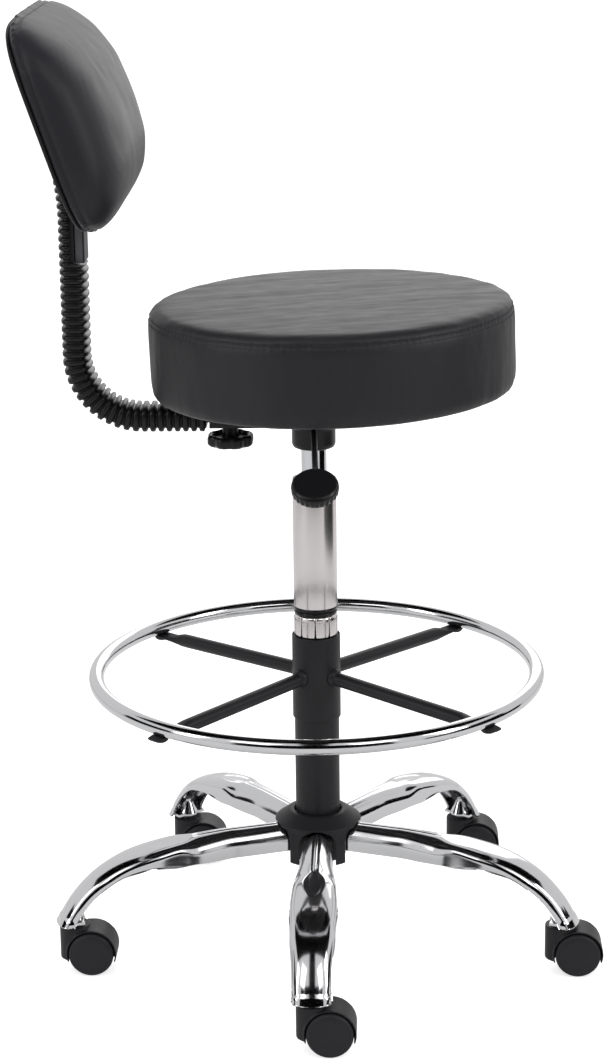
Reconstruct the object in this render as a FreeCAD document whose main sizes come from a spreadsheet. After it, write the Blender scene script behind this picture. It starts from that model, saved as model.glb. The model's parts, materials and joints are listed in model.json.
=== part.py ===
import FreeCAD, Part
import math
import os

import Sketcher

# A height-adjustable drafting chair with a foot ring, made of separate pieces.
# Millimetres. +Z is up, the chair faces -Y, +X is the sitter's left, and the origin is on the
# floor under the column. Every size that can be set by itself is one row of the sheet below.

SIZES = {
    # column
    "column_od": 50.0, "column_foot_z": 102.0, "column_top_z": 365.0,
    "core_od": 45.0, "core_bore": 40.0, "core_foot_z": 106.0, "core_floor": 4.0,
    "bright_od": 48.6, "collet_top_z": 391.3, "collet_slits": 9.0, "collet_slit": 1.6,
    "o_ring_z": 395.9, "o_ring_height": 4.2, "o_ring_pitch": 4.6,
    "upper_tube_z": 400.4, "upper_tube_top_z": 541.0,
    "bush_length": 60.0, "bush_flange": 4.5,
    # gas lift
    "lift_od": 28.0, "lift_wall": 2.0, "lift_foot_z": 300.0, "lift_top_z": 628.0,
    "taper_length": 40.0, "taper_top_od": 26.4, "lift_head": 46.0,
    "rod_od": 8.0, "rod_foot_z": 96.5, "rod_top_z": 540.0, "bearing_od": 26.0, "bearing_height": 5.0,
    "clip_od": 15.0, "clip_height": 2.0,
    "pin_od": 6.0, "pin_length": 26.0, "pin_proud": 8.5,
    # running fits: radial clearance of a shaft in its hole, and the gap between sliding flats
    "running_gap": 0.05, "sliding_gap": 0.3,
    # base
    "leg_count": 5.0, "stem_circle": 284.5,
    "hub_boss_od": 62.0, "hub_boss_z": 104.0, "hub_boss_top_z": 141.0,
    "leg_root": 33.0, "leg_top_z": 146.0, "leg_bend": 100.0, "leg_shoulder": 213.0, "leg_reach": 304.0,
    "leg_wall": 1.8, "leg_tip_z": 57.5, "leg_root_width": 33.0, "leg_mid_width": 51.0,
    "leg_tip_width": 40.0, "leg_root_depth": 29.0, "leg_tip_depth": 12.0,
    "cover_top_z": 159.0, "cover_rim_z": 147.5, "cover_rim": 3.0, "cover_flange_od": 97.0,
    "cover_body_od": 90.0, "cover_foot_z": 103.5, "cover_wall": 2.2, "cover_hole": 53.0,
    "arch_gap": 2.0,
    "socket_foot_z": 59.5, "socket_foot_od": 24.0, "socket_cone": 15.5, "socket_neck_od": 12.0,
    "socket_cap_od": 8.0, "socket_cap": 3.5, "socket_web": 3.0, "socket_web_width": 36.2,
    "socket_web_length": 16.0,
    # casters
    "wheel_od": 50.0, "wheel_width": 17.0, "wheel_inner": 5.6, "wheel_round": 3.0, "caster_trail": 19.0,
    "hood_top_z": 55.0, "hood_barrel_od": 34.0, "hood_fender_od": 56.0, "hood_width": 38.0,
    "hood_web": 10.0, "hood_foot_z": 16.0, "hood_gap": 1.3,
    "axle_od": 6.0, "axle_length": 36.0, "stem_od": 10.0, "stem_pivot_od": 8.0, "stem_foot_z": 38.0,
    "stem_length": 35.5, "stem_collar_od": 15.0,
    # foot ring
    "ring_od": 508.0, "ring_tube": 17.0, "ring_wall": 1.6, "ring_z": 323.0,
    "sleeve_od": 53.8, "sleeve_z": 270.0, "sleeve_top_z": 366.5, "liner_wall": 0.6,
    "spoke_od": 15.5, "spoke_wall": 1.5, "spoke_root_z": 320.0,
    "spoke_tab": 3.2, "spoke_tab_width": 20.0, "spoke_tab_length": 30.0, "spoke_turn": 49.5,
    "screw_od": 6.0, "screw_head_od": 17.0, "screw_head": 3.5, "screw_length": 10.0,
    # seat
    "seat_od": 393.0, "seat_thickness": 97.0, "seat_z": 647.5, "seat_forward": 22.5,
    "seat_tilt": 1.4, "seat_top_round": 24.0, "seat_foot_round": 12.0,
    "board_od": 340.0, "board_thickness": 12.0,
    "plate_length": 170.0, "plate_width": 150.0, "plate_thickness": 2.5, "plate_hole_inset": 15.0,
    "plate_screw_od": 6.0, "plate_screw_head": 4.0, "plate_screw_head_od": 11.0, "plate_screw_grip": 9.0,
    "pan_z": 608.0, "pan_wall": 2.5, "pan_width": 54.0, "pan_front": 45.0, "pan_rear": 112.0,
    "collar_od": 48.0, "collar_z": 580.5, "collar_height": 23.0, "collar_flange_od": 50.6,
    "collar_flange": 4.5, "collar_neck_od": 40.0, "collar_neck_top_z": 626.0,
    # lever
    "lever_od": 6.4, "lever_pivot_x": 21.0, "lever_pivot_z": 631.0, "lever_reach": 232.0,
    "lever_end_z": 616.5, "lever_tongue": 25.0, "lever_sweep": 8.5, "lever_pin_od": 5.0,
    "lug_gap": 15.0, "lug_thickness": 2.5, "lug_length": 10.5, "lug_z": 627.0, "lug_height": 10.0,
    "paddle_od": 49.0, "paddle_thickness": 15.0,
    "paddle_x": 247.0, "paddle_z": 599.5, "paddle_slope": 30.0, "paddle_flutes": 24.0,
    # back bar
    "bar_width": 40.0, "bar_thickness": 6.0, "bar_front": 36.0, "bar_rear": 255.7, "bar_bend": 70.0,
    "bar_lean": 18.7, "bar_lean_bend": 300.0, "bar_lean_z": 830.0, "bar_upper": 95.0,
    "channel_wall": 2.0, "channel_front": 44.0, "channel_rear": 110.0,
    "bellows_front": 116.0, "bellows_depth": 29.5, "bellows_width": 50.0, "bellows_wall": 3.0,
    "bellows_front_top_z": 787.0, "bellows_stop": 13.0,
    "knob_y": 91.0, "knob_od": 52.0, "knob_z": 583.0, "knob_height": 13.0, "knob_neck_od": 17.0,
    "knob_lobes": 8.0, "knob_stud_od": 8.0,
    "strip_width": 36.0, "strip_thickness": 2.0, "strip_front": 241.8, "strip_z": 788.5,
    "strip_height": 46.5,
    # backrest
    "back_width": 380.0, "back_height": 232.4, "back_depth": 69.0, "back_corner": 72.0,
    "back_set": 11.0, "back_centre": 14.0,
    "shell_thickness": 4.0, "shell_inset": 3.0, "back_board_thickness": 10.0, "back_board_inset": 22.0,
    "bracket_width": 90.0, "bracket_height": 84.0, "bracket_thickness": 3.0, "bracket_wall": 2.6,
    "bracket_sleeve": 50.0, "bracket_sleeve_z": 15.0,
}

doc = FreeCAD.newDocument("drafting_chair")
sheet = doc.addObject("Spreadsheet::Sheet", "Sizes")
for row, (word, number) in enumerate(SIZES.items(), start=1):
    sheet.set(f"A{row}", word)
    sheet.set(f"B{row}", str(number))
    sheet.setAlias(f"B{row}", word)
doc.recompute()

Vec = FreeCAD.Vector
X_AXIS, Y_AXIS, Z_AXIS = Vec(1, 0, 0), Vec(0, 1, 0), Vec(0, 0, 1)
nodes = {}


class Size:
    """A number together with the sheet formula that gives it."""

    def __init__(self, formula, number):
        self.formula = formula
        self.number = number

    def __add__(self, other):
        return Size(f"({self.formula} + {formula_of(other)})", self.number + number_of(other))

    def __radd__(self, other):
        return self + other

    def __sub__(self, other):
        return Size(f"({self.formula} - {formula_of(other)})", self.number - number_of(other))

    def __rsub__(self, other):
        return Size(f"({formula_of(other)} - {self.formula})", number_of(other) - self.number)

    def __mul__(self, other):
        return Size(f"({self.formula} * {formula_of(other)})", self.number * number_of(other))

    def __rmul__(self, other):
        return self * other

    def __truediv__(self, other):
        return Size(f"({self.formula} / {formula_of(other)})", self.number / number_of(other))

    def __neg__(self):
        return self * -1.0


def formula_of(size):
    return size.formula if isinstance(size, Size) else f"{size:.9f}"


def number_of(size):
    return size.number if isinstance(size, Size) else float(size)


class Sheet:
    """Each alias of the sheet as a Size: s.column_od and so on."""

    def __getattr__(self, word):
        return Size(f"Sizes.{word}", SIZES[word])


s = Sheet()
mm = number_of


def bind(thing, prop, size):
    thing.setExpression(prop, formula_of(size))


def place(thing, at, axis=None, angle=0):
    """Puts a thing at a point whose coordinates follow the sheet, turned about an axis."""
    turn = thing.Placement.Rotation if axis is None else FreeCAD.Rotation(axis, mm(angle))
    thing.Placement = FreeCAD.Placement(Vec(*[mm(size) for size in at]), turn)
    for letter, size in zip("xyz", at):
        if isinstance(size, Size):
            bind(thing, "Placement.Base." + letter, size)
    return thing


def solid(kind, name, at=(0, 0, 0), axis=None, angle=0, **sizes):
    """A Part primitive whose sizes and place follow the sheet."""
    thing = doc.addObject("Part::" + kind, name)
    for prop, size in sizes.items():
        bind(thing, prop, size)
    return place(thing, at, axis, angle)


def box(name, low, size):
    return solid("Box", name, at=low, Length=size[0], Width=size[1], Height=size[2])


def rod(name, at, radius, length, axis=None, angle=0):
    return solid("Cylinder", name, at=at, axis=axis, angle=angle, Radius=radius, Height=length)


def fuse(name, *pieces):
    thing = doc.addObject("Part::MultiFuse", name)
    thing.Shapes = list(pieces)
    return thing


def cut(name, base, *tools):
    thing = doc.addObject("Part::Cut", name)
    thing.Base = base
    thing.Tool = tools[0] if len(tools) == 1 else fuse(name + "_tools", *tools)
    return thing


def group(name, pieces):
    thing = doc.addObject("Part::Compound", name)
    thing.Links = list(pieces)
    return thing


def shape_of(name, shape):
    thing = doc.addObject("Part::Feature", name)
    thing.Shape = shape
    return thing


def keep(label, thing):
    """Marks a finished sub-part: its Label names its file."""
    thing.Label = label
    nodes[label] = thing
    return thing


def outline(body, role, points, name="outline"):
    """A closed sketch of straight edges on one of the body's own planes."""
    sketch = body.newObject("Sketcher::SketchObject", name)
    sketch.AttachmentSupport = [(next(f for f in body.Origin.OriginFeatures if f.Role == role), "")]
    sketch.MapMode = "FlatFace"
    corners = [Vec(mm(a), mm(b), 0) for a, b in points]
    count = len(corners)
    for here, there in zip(corners, corners[1:] + corners[:1]):
        sketch.addGeometry(Part.LineSegment(here, there), False)
    for i in range(count):
        sketch.addConstraint(Sketcher.Constraint("Coincident", i, 2, (i + 1) % count, 1))
    for i, (across, up) in enumerate(points):
        for kind, size, axis in (("DistanceX", across, -2), ("DistanceY", up, -1)):
            if mm(size) == 0:
                sketch.addConstraint(Sketcher.Constraint("PointOnObject", i, 1, axis))
                continue
            index = sketch.addConstraint(Sketcher.Constraint(kind, -1, 1, i, 1, mm(size)))
            bind(sketch, f"Constraints[{index}]", size)
    return sketch


def turned(name, profile, at=(0, 0, 0), axis=None, angle=0):
    """A turned body; the profile is a list of (radius, height) corners."""
    body = doc.addObject("PartDesign::Body", name)
    sketch = outline(body, "XZ_Plane", profile)
    spin = body.newObject("PartDesign::Revolution", name + "_turn")
    spin.Profile = sketch
    spin.ReferenceAxis = (sketch, ["V_Axis"])
    spin.Angle = 360
    sketch.Visibility = False
    return place(body, at, axis, angle)


def tube(name, outer, inner, low, high, at=(0, 0, 0)):
    """A plain tube from its outer and inner diameters and the heights of its two ends."""
    return turned(name, [(inner / 2, low), (outer / 2, low), (outer / 2, high), (inner / 2, high)], at)


def rounded(body, radius, corners):
    """Rounds a turned body's edges that run through the given (radius, height) corners."""
    doc.recompute()
    tip = body.Tip
    names = []
    for number, edge in enumerate(tip.Shape.Edges, start=1):
        if not isinstance(edge.Curve, Part.Circle):
            continue
        for across, up in corners:
            level = edge.Curve.Center.z - tip.Shape.Placement.Base.z
            if abs(edge.Curve.Radius - mm(across)) < 0.01 and abs(level - mm(up)) < 0.01:
                names.append(f"Edge{number}")
    fillet = body.newObject("PartDesign::Fillet", body.Name + "_round")
    fillet.Base = (tip, names)
    bind(fillet, "Radius", radius)
    return body


def around(count, start=0.0):
    """Directions of a ring of equal pieces, in degrees."""
    return [start + 360.0 * k / count for k in range(int(count))]


def polar(radius, degrees, z=0):
    """A point at a radius from the column, in a direction."""
    return (radius * math.cos(math.radians(degrees)), radius * math.sin(math.radians(degrees)), z)


# ---------------------------------------------------------------- base: legs, hub, sockets

LEG_DIRECTIONS = around(mm(s.leg_count), 180.0)


def leg_station(slope, start, corner, angle_from, angle_to):
    """A point of an arc that starts at a point (reach, height) with one slope and ends with another."""
    radius = (corner - start[0]) / (math.sin(angle_to) - math.sin(angle_from))
    return (start[0] + radius * (math.sin(slope) - math.sin(angle_from)),
            start[1] - radius * (math.cos(angle_from) - math.cos(slope)))


def leg_section(at, slope, width, depth, wall):
    """One cross-section of a leg: a rounded arch, open underneath, square to the leg's top line."""
    corner = min(0.42 * width, depth - 1.5)

    def point(across, down):
        return Vec(at[0] - down * math.sin(slope), across, at[1] - down * math.cos(slope))

    def arch(half, top, turn):
        middle = (1 - math.sqrt(0.5)) * turn
        return [point(-half, depth), point(-half, top + turn), point(-half + middle, top + middle),
                point(-half + turn, top), point(half - turn, top), point(half - middle, top + middle),
                point(half, top + turn), point(half, depth)]

    outer = arch(width / 2, 0, corner)
    inner = arch(width / 2 - wall, wall, corner - wall)
    edges = [Part.makeLine(outer[0], outer[1]), Part.Arc(*outer[1:4]).toShape(),
             Part.makeLine(outer[3], outer[4]), Part.Arc(*outer[4:7]).toShape(),
             Part.makeLine(outer[6], outer[7]), Part.makeLine(outer[7], inner[7]),
             Part.makeLine(inner[7], inner[6]), Part.Arc(inner[6], inner[5], inner[4]).toShape(),
             Part.makeLine(inner[4], inner[3]), Part.Arc(inner[3], inner[2], inner[1]).toShape(),
             Part.makeLine(inner[1], inner[0]), Part.makeLine(inner[0], outer[0])]
    return Part.Wire(edges)


def leg_shape():
    """A pressed leg along +X: flat at the hub, then bent down in two arcs, cut level at its tip."""
    level, shoulder_slope, tip_slope = (math.radians(a) for a in (1.0, 12.7, 68.0))
    root, bend, shoulder, reach = mm(s.leg_root), mm(s.leg_bend), mm(s.leg_shoulder), mm(s.leg_reach)
    start = (bend, mm(s.leg_top_z))
    knee = leg_station(shoulder_slope, start, shoulder, level, shoulder_slope)
    slopes = [shoulder_slope + (tip_slope - shoulder_slope) * k / 3 for k in (1, 2, 3)]
    spots = [((root, start[1]), level), (((root + bend) / 2, start[1]), level), (start, level),
             (leg_station(math.radians(8.0), start, shoulder, level, shoulder_slope), math.radians(8.0)),
             (knee, shoulder_slope)]
    spots += [(leg_station(a, knee, reach, shoulder_slope, tip_slope), a) for a in slopes]
    tip, past = spots[-1][0], 14.0
    spots.append(((tip[0] + past * math.cos(tip_slope), tip[1] - past * math.sin(tip_slope)), tip_slope))
    wide, narrow, end = mm(s.leg_mid_width), mm(s.leg_root_width), mm(s.leg_tip_width)
    deep, shallow = mm(s.leg_root_depth), mm(s.leg_tip_depth)
    widths = [narrow, narrow + 0.1 * (wide - narrow), narrow + 0.35 * (wide - narrow),
              narrow + 0.8 * (wide - narrow), wide, wide - 0.3 * (wide - end),
              wide - 0.75 * (wide - end), end, end]
    depths = [deep, deep, deep, 0.88 * deep, shallow + 4, shallow + 1, shallow, shallow, shallow + 1]
    wires = [leg_section(at, slope, width, depth, mm(s.leg_wall))
             for (at, slope), width, depth in zip(spots, widths, depths)]
    below = Part.makeBox(2 * reach, 2 * wide, reach, Vec(0, -wide, mm(s.leg_tip_z) - reach))
    return Part.makeLoft(wires, True, False).cut(below)


def make_legs():
    pressed = leg_shape()
    for number, direction in enumerate(LEG_DIRECTIONS, start=1):
        leg = shape_of(f"leg_{number}", pressed)
        leg.Placement = FreeCAD.Placement(Vec(), FreeCAD.Rotation(Z_AXIS, direction))
        keep(f"leg_{number}", leg)


def make_hub():
    keep("hub_boss", tube("hub_boss", s.hub_boss_od, s.column_od, s.hub_boss_z, s.hub_boss_top_z))
    wall, flat = s.cover_wall, s.cover_hole / 2 + 6
    flange, skirt = s.cover_flange_od / 2, s.cover_body_od / 2
    under = s.cover_rim_z - s.cover_rim
    shell = turned("cover_shell", [
        (s.cover_hole / 2, s.cover_top_z - wall), (flat - 1, s.cover_top_z - wall), (skirt - wall, under),
        (skirt - wall, s.cover_foot_z), (skirt, s.cover_foot_z), (skirt, under - 3), (flange, under),
        (flange, s.cover_rim_z), (flat, s.cover_top_z), (s.cover_hole / 2, s.cover_top_z)])
    half = s.leg_root_width / 2 + s.arch_gap + 1.5
    arch_z = s.leg_top_z + s.arch_gap / 2 - half
    arches = []
    for direction in LEG_DIRECTIONS:
        x, y, _ = polar(1.0, direction)
        slot = box("arch_slot", (-half * -y, -half * x, s.cover_foot_z - 1),
                   (flange + 5, half * 2, arch_z - s.cover_foot_z + 1))
        slot.Placement.Rotation = FreeCAD.Rotation(Z_AXIS, direction)
        top = rod("arch_top", (0, 0, arch_z), half, flange + 5)
        top.Placement.Rotation = FreeCAD.Rotation(Z_AXIS, Vec(x, y, 0))
        arches += [slot, top]
    keep("hub_cover", cut("hub_cover", shell, *arches))


def make_sockets():
    foot, neck = s.socket_foot_z, s.socket_foot_z + s.socket_cone
    bore = s.stem_od / 2
    sockets = []
    for direction in LEG_DIRECTIONS:
        at = polar(s.stem_circle, direction)
        cone = turned("socket_cone", [
            (bore, foot), (s.socket_foot_od / 2, foot), (s.socket_foot_od / 2, foot + 2),
            (s.socket_neck_od / 2, neck), (s.socket_cap_od / 2, neck),
            (s.socket_cap_od / 2, neck + s.socket_cap), (0, neck + s.socket_cap), (0, neck - 1),
            (bore, neck - 1)], at)
        x, y, _ = polar(1.0, direction)
        reach, side = s.stem_circle - s.socket_web_length / 2, -s.socket_web_width / 2
        web = box("socket_web", (reach * x - side * y, reach * y + side * x, foot),
                  (s.socket_web_length, s.socket_web_width, s.socket_web))
        web.Placement.Rotation = FreeCAD.Rotation(Z_AXIS, direction)
        hole = rod("socket_hole", at[:2] + (foot - 1,), bore, s.socket_web + 2)
        sockets.append(fuse("stem_socket", cone, cut("socket_strap", web, hole)))
    keep("stem_sockets", group("stem_sockets", sockets))


# ---------------------------------------------------------------- casters

def make_caster(number, direction):
    stem_x, stem_y, _ = polar(s.stem_circle, direction)
    axle_y, axle_z = stem_y - s.caster_trail, s.wheel_od / 2
    half, web = s.hood_width / 2, s.hood_web / 2
    pocket = s.wheel_od / 2 + s.hood_gap
    across = dict(axis=Y_AXIS, angle=90)

    barrel = rod("barrel", (stem_x, stem_y, s.hood_foot_z), s.hood_barrel_od / 2,
                 s.hood_top_z - s.hood_foot_z)
    fender = rod("fender", (stem_x - half, axle_y, axle_z), s.hood_fender_od / 2, s.hood_width, **across)
    block = fuse("hood_block", barrel, fender)
    deep = half + s.wheel_width
    hood = cut(f"hood_{number}", block,
               rod("pocket_left", (stem_x + web, axle_y, axle_z), pocket, deep, **across),
               rod("pocket_right", (stem_x - web - deep, axle_y, axle_z), pocket, deep, **across),
               box("below", (stem_x - half - 5, axle_y - s.wheel_od, -5),
                   (s.hood_width + 10, 2 * s.wheel_od, s.hood_foot_z + 5)),
               rod("axle_hole", (stem_x - half, axle_y, axle_z), s.axle_od / 2, s.hood_width, **across),
               rod("stem_hole", (stem_x, stem_y, s.stem_foot_z - 1), s.stem_pivot_od / 2 + s.running_gap,
                   s.hood_top_z - s.stem_foot_z + 2))
    keep(f"hood_{number}", hood)
    keep(f"axle_{number}", rod(f"axle_{number}", (stem_x - s.axle_length / 2, axle_y, axle_z),
                               s.axle_od / 2, s.axle_length, **across))
    radius, wide, bore = s.wheel_od / 2, s.wheel_width, s.axle_od / 2 + s.running_gap
    depth = s.axle_length / 2 - s.wheel_inner + 0.5
    profile = [(bore, 0), (radius - 1, 0), (radius, 1), (radius, wide - s.wheel_round),
               (radius - s.wheel_round / 3, wide - s.wheel_round / 3), (radius - s.wheel_round, wide),
               (0, wide + 0.6), (0, depth), (bore, depth)]
    for side, sign, angle in (("left", 1, 90), ("right", -1, -90)):
        at = (stem_x + sign * s.wheel_inner, axle_y, axle_z)
        keep(f"wheel_{side}_{number}",
             turned(f"wheel_{side}_{number}", profile, at, Y_AXIS, angle))


def make_casters():
    stems = []
    low, seat = s.stem_foot_z, s.hood_top_z + s.sliding_gap
    for number, direction in enumerate(LEG_DIRECTIONS, start=1):
        make_caster(number, direction)
        stems.append(turned("stem", [
            (0, low), (s.stem_pivot_od / 2, low), (s.stem_pivot_od / 2, seat), (s.stem_collar_od / 2, seat),
            (s.stem_collar_od / 2, s.socket_foot_z), (s.stem_od / 2, s.socket_foot_z),
            (s.stem_od / 2, low + s.stem_length), (0, low + s.stem_length)], polar(s.stem_circle, direction)))
    keep("caster_stems", group("caster_stems", stems))


# ---------------------------------------------------------------- column and gas lift

def make_column():
    keep("column_tube", tube("column_tube", s.column_od, s.core_od, s.column_foot_z, s.column_top_z))
    foot, floor = s.core_foot_z, s.core_foot_z + s.core_floor
    top = s.upper_tube_top_z
    keep("core_tube", turned("core_tube", [
        (s.rod_od / 2 + 0.4, foot), (s.core_od / 2, foot), (s.core_od / 2, top), (s.core_bore / 2, top),
        (s.core_bore / 2, floor), (s.rod_od / 2 + 0.4, floor)]))
    ring = tube("collet_ring", s.bright_od, s.core_od, s.column_top_z, s.collet_top_z)
    slits = []
    for direction in around(mm(s.collet_slits), 180.0):
        x, y, _ = polar(1.0, direction)
        slit = box("slit", (s.collet_slit / 2 * y, -s.collet_slit / 2 * x, s.column_top_z - 1),
                   (s.bright_od, s.collet_slit, s.collet_top_z - s.column_top_z - 2))
        slit.Placement.Rotation = FreeCAD.Rotation(Z_AXIS, direction)
        slits.append(slit)
    keep("collet", cut("collet", ring, *slits))
    bands = []
    for level in (s.o_ring_z - s.o_ring_pitch / 2, s.o_ring_z + s.o_ring_pitch / 2):
        outer = s.bright_od / 2 - 0.3
        low, high = level - s.o_ring_height / 2, level + s.o_ring_height / 2
        bands.append(turned("o_ring", [(s.core_od / 2, low), (outer - 1, low), (outer, low + 1.5),
                                       (outer, high - 1.5), (outer - 1, high), (s.core_od / 2, high)]))
    keep("o_rings", group("o_rings", bands))
    keep("upper_tube", tube("upper_tube", s.bright_od, s.core_od, s.upper_tube_z, s.upper_tube_top_z))
    hole = s.lift_od / 2 + s.running_gap
    keep("guide_bush", turned("guide_bush", [
        (hole, top - s.bush_length), (s.core_bore / 2, top - s.bush_length), (s.core_bore / 2, top),
        (s.bright_od / 2 - 0.3, top), (s.bright_od / 2 - 0.3, top + s.bush_flange),
        (hole, top + s.bush_flange)]))
    keep("thrust_bearing", tube(
        "thrust_bearing", s.bearing_od, s.rod_od + 0.8, floor, floor + s.bearing_height))


def make_lift():
    shoulder = s.core_foot_z + s.core_floor + s.bearing_height + s.sliding_gap
    keep("lift_rod", turned("lift_rod", [
        (0, s.rod_foot_z), (s.rod_od / 2, s.rod_foot_z), (s.rod_od / 2, shoulder), (s.rod_od, shoulder),
        (s.rod_od, shoulder + 3), (s.rod_od / 2, shoulder + 3), (s.rod_od / 2, s.rod_top_z),
        (0, s.rod_top_z)]))
    clip = s.core_foot_z - s.clip_height - 1
    keep("rod_clip", tube("rod_clip", s.clip_od, s.rod_od, clip, clip + s.clip_height))
    bore, inside = s.rod_od / 2 + s.running_gap, s.lift_od / 2 - s.lift_wall
    taper, roof = s.lift_top_z - s.taper_length, s.lift_top_z - s.lift_head
    pin = s.pin_od / 2 + s.running_gap
    keep("lift_cylinder", turned("lift_cylinder", [
        (bore, s.lift_foot_z), (s.lift_od / 2, s.lift_foot_z), (s.lift_od / 2, taper),
        (s.taper_top_od / 2, s.lift_top_z), (pin, s.lift_top_z), (pin, roof), (inside, roof),
        (inside, s.lift_foot_z + 12), (bore, s.lift_foot_z + 12)]))
    keep("valve_pin", rod("valve_pin", (0, 0, s.lift_top_z + s.pin_proud - s.pin_length),
                          s.pin_od / 2, s.pin_length))


# ---------------------------------------------------------------- foot ring

def make_foot_ring():
    inner = s.column_od + 2 * s.running_gap
    outer = inner + 2 * s.liner_wall
    keep("ring_liner", tube("ring_liner", outer, inner, s.sleeve_z + 2, s.sleeve_top_z - 2))
    keep("ring_sleeve", tube(
        "ring_sleeve", s.sleeve_od, outer + 2 * s.running_gap, s.sleeve_z, s.sleeve_top_z))
    middle = s.ring_od / 2 - s.ring_tube / 2
    ring = solid("Torus", "ring_torus", at=(0, 0, s.ring_z), Radius1=middle, Radius2=s.ring_tube / 2)

    tab_top = s.ring_z - s.ring_tube / 2
    tab_start = middle - s.spoke_tab_length / 2
    drop = mm(s.spoke_root_z) - mm(tab_top - s.spoke_tab / 2)
    length = math.hypot(mm(tab_start) + 4, drop)
    slope = math.degrees(math.asin(drop / length))
    spokes, screws = [], []
    for direction in around(4, mm(s.spoke_turn)):
        bar = rod("spoke_bar", (0, 0, s.spoke_root_z), s.spoke_od / 2, length)
        bar.Placement.Rotation = FreeCAD.Rotation(Z_AXIS, direction).multiply(
            FreeCAD.Rotation(Y_AXIS, 90 + slope))
        x, y, _ = polar(1.0, direction)
        side = -s.spoke_tab_width / 2
        tab = box("spoke_tab", (tab_start * x - side * y, tab_start * y + side * x, tab_top - s.spoke_tab),
                  (s.spoke_tab_length, s.spoke_tab_width, s.spoke_tab))
        tab.Placement.Rotation = FreeCAD.Rotation(Z_AXIS, direction)
        hole = rod("tab_hole", polar(middle, direction, tab_top - s.spoke_tab - 1),
                   s.screw_od / 2, s.spoke_tab + 2)
        core = rod("sleeve_room", (0, 0, s.sleeve_z), s.sleeve_od / 2, s.sleeve_top_z - s.sleeve_z)
        bore = rod("spoke_bore", (0, 0, s.spoke_root_z), s.spoke_od / 2 - s.spoke_wall, length - 20)
        bore.Placement.Rotation = bar.Placement.Rotation
        spokes.append(cut("spoke", fuse("spoke_blank", bar, tab), hole, core, ring, bore))
        foot = tab_top - s.spoke_tab
        head = rod("screw_head", polar(middle, direction, foot - s.screw_head),
                   s.screw_head_od / 2, s.screw_head)
        shank = rod("screw_shank", polar(middle, direction, foot - 1), s.screw_od / 2, s.screw_length)
        screws.append(fuse("spoke_screw", head, shank))
    keep("spokes", group("spokes", spokes))
    # each screw ends in the ring's wall, in a hole of its own
    holes = [rod("ring_hole", polar(middle, direction, tab_top - s.spoke_tab), s.screw_od / 2,
                 s.screw_length - 1) for direction in around(4, mm(s.spoke_turn))]
    hollow = solid("Torus", "ring_hollow", at=(0, 0, s.ring_z), Radius1=middle,
                   Radius2=s.ring_tube / 2 - s.ring_wall)
    keep("foot_ring", cut("foot_ring", ring, hollow, *holes))
    keep("spoke_screws", group("spoke_screws", screws))


# ---------------------------------------------------------------- seat

def seat_frame(point=(0, 0, 0)):
    """A point of the seat's own tilted frame, whose origin is the middle of the seat's underside."""
    turn = FreeCAD.Rotation(X_AXIS, -mm(s.seat_tilt))
    return turn.multVec(Vec(*[mm(p) for p in point])) + Vec(0, -mm(s.seat_forward), mm(s.seat_z))


def on_seat(thing, point=(0, 0, 0)):
    """Puts a thing that was made at the origin into the seat's tilted frame."""
    thing.Placement = FreeCAD.Placement(seat_frame(point), FreeCAD.Rotation(X_AXIS, -mm(s.seat_tilt)))
    return thing


def plate_holes():
    """The four screw places of the seat plate, in the seat's frame."""
    across = s.plate_width / 2 - s.plate_hole_inset
    along = s.plate_length / 2 - s.plate_hole_inset
    return [(i * across, s.seat_forward + j * along) for i in (-1, 1) for j in (-1, 1)]


def make_seat():
    radius, high = s.seat_od / 2, s.seat_thickness
    pad = turned("seat_pad", [(0, 0), (radius, 0), (radius, high), (0, high)])
    rounded(pad, s.seat_top_round, [(radius, high)])
    rounded(pad, s.seat_foot_round, [(radius, 0)])
    recess = rod("board_recess", (0, 0, 0), s.board_od / 2, s.board_thickness)
    keep("seat_cushion", on_seat(cut("seat_cushion", pad, recess)))

    disc = rod("board_disc", (0, 0, 0), s.board_od / 2, s.board_thickness)
    pilots = [rod("pilot", (x, y, 0), s.plate_screw_od / 2, s.plate_screw_grip) for x, y in plate_holes()]
    keep("seat_board", on_seat(cut("seat_board", disc, *pilots)))

    low = (-s.plate_width / 2, s.seat_forward - s.plate_length / 2, -s.plate_thickness)
    sheet_steel = box("plate_blank", low, (s.plate_width, s.plate_length, s.plate_thickness))
    holes = [rod("plate_hole", (x, y, -s.plate_thickness - 1), s.plate_screw_od / 2, s.plate_thickness + 2)
             for x, y in plate_holes()]
    keep("seat_plate", on_seat(cut("seat_plate", sheet_steel, *holes)))

    foot = -s.plate_thickness - s.plate_screw_head
    screws = [turned("plate_screw", [
        (0, foot), (s.plate_screw_head_od / 2, foot), (s.plate_screw_head_od / 2, -s.plate_thickness),
        (s.plate_screw_od / 2, -s.plate_thickness), (s.plate_screw_od / 2, s.plate_screw_grip),
        (0, s.plate_screw_grip)], (x, y, 0)) for x, y in plate_holes()]
    keep("seat_screws", on_seat(group("seat_screws", screws)))


def bar_z():
    """Height of the bar's middle where it lies in its channel."""
    return s.pan_z + s.pan_wall + s.channel_wall + s.sliding_gap + s.bar_thickness / 2


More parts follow.
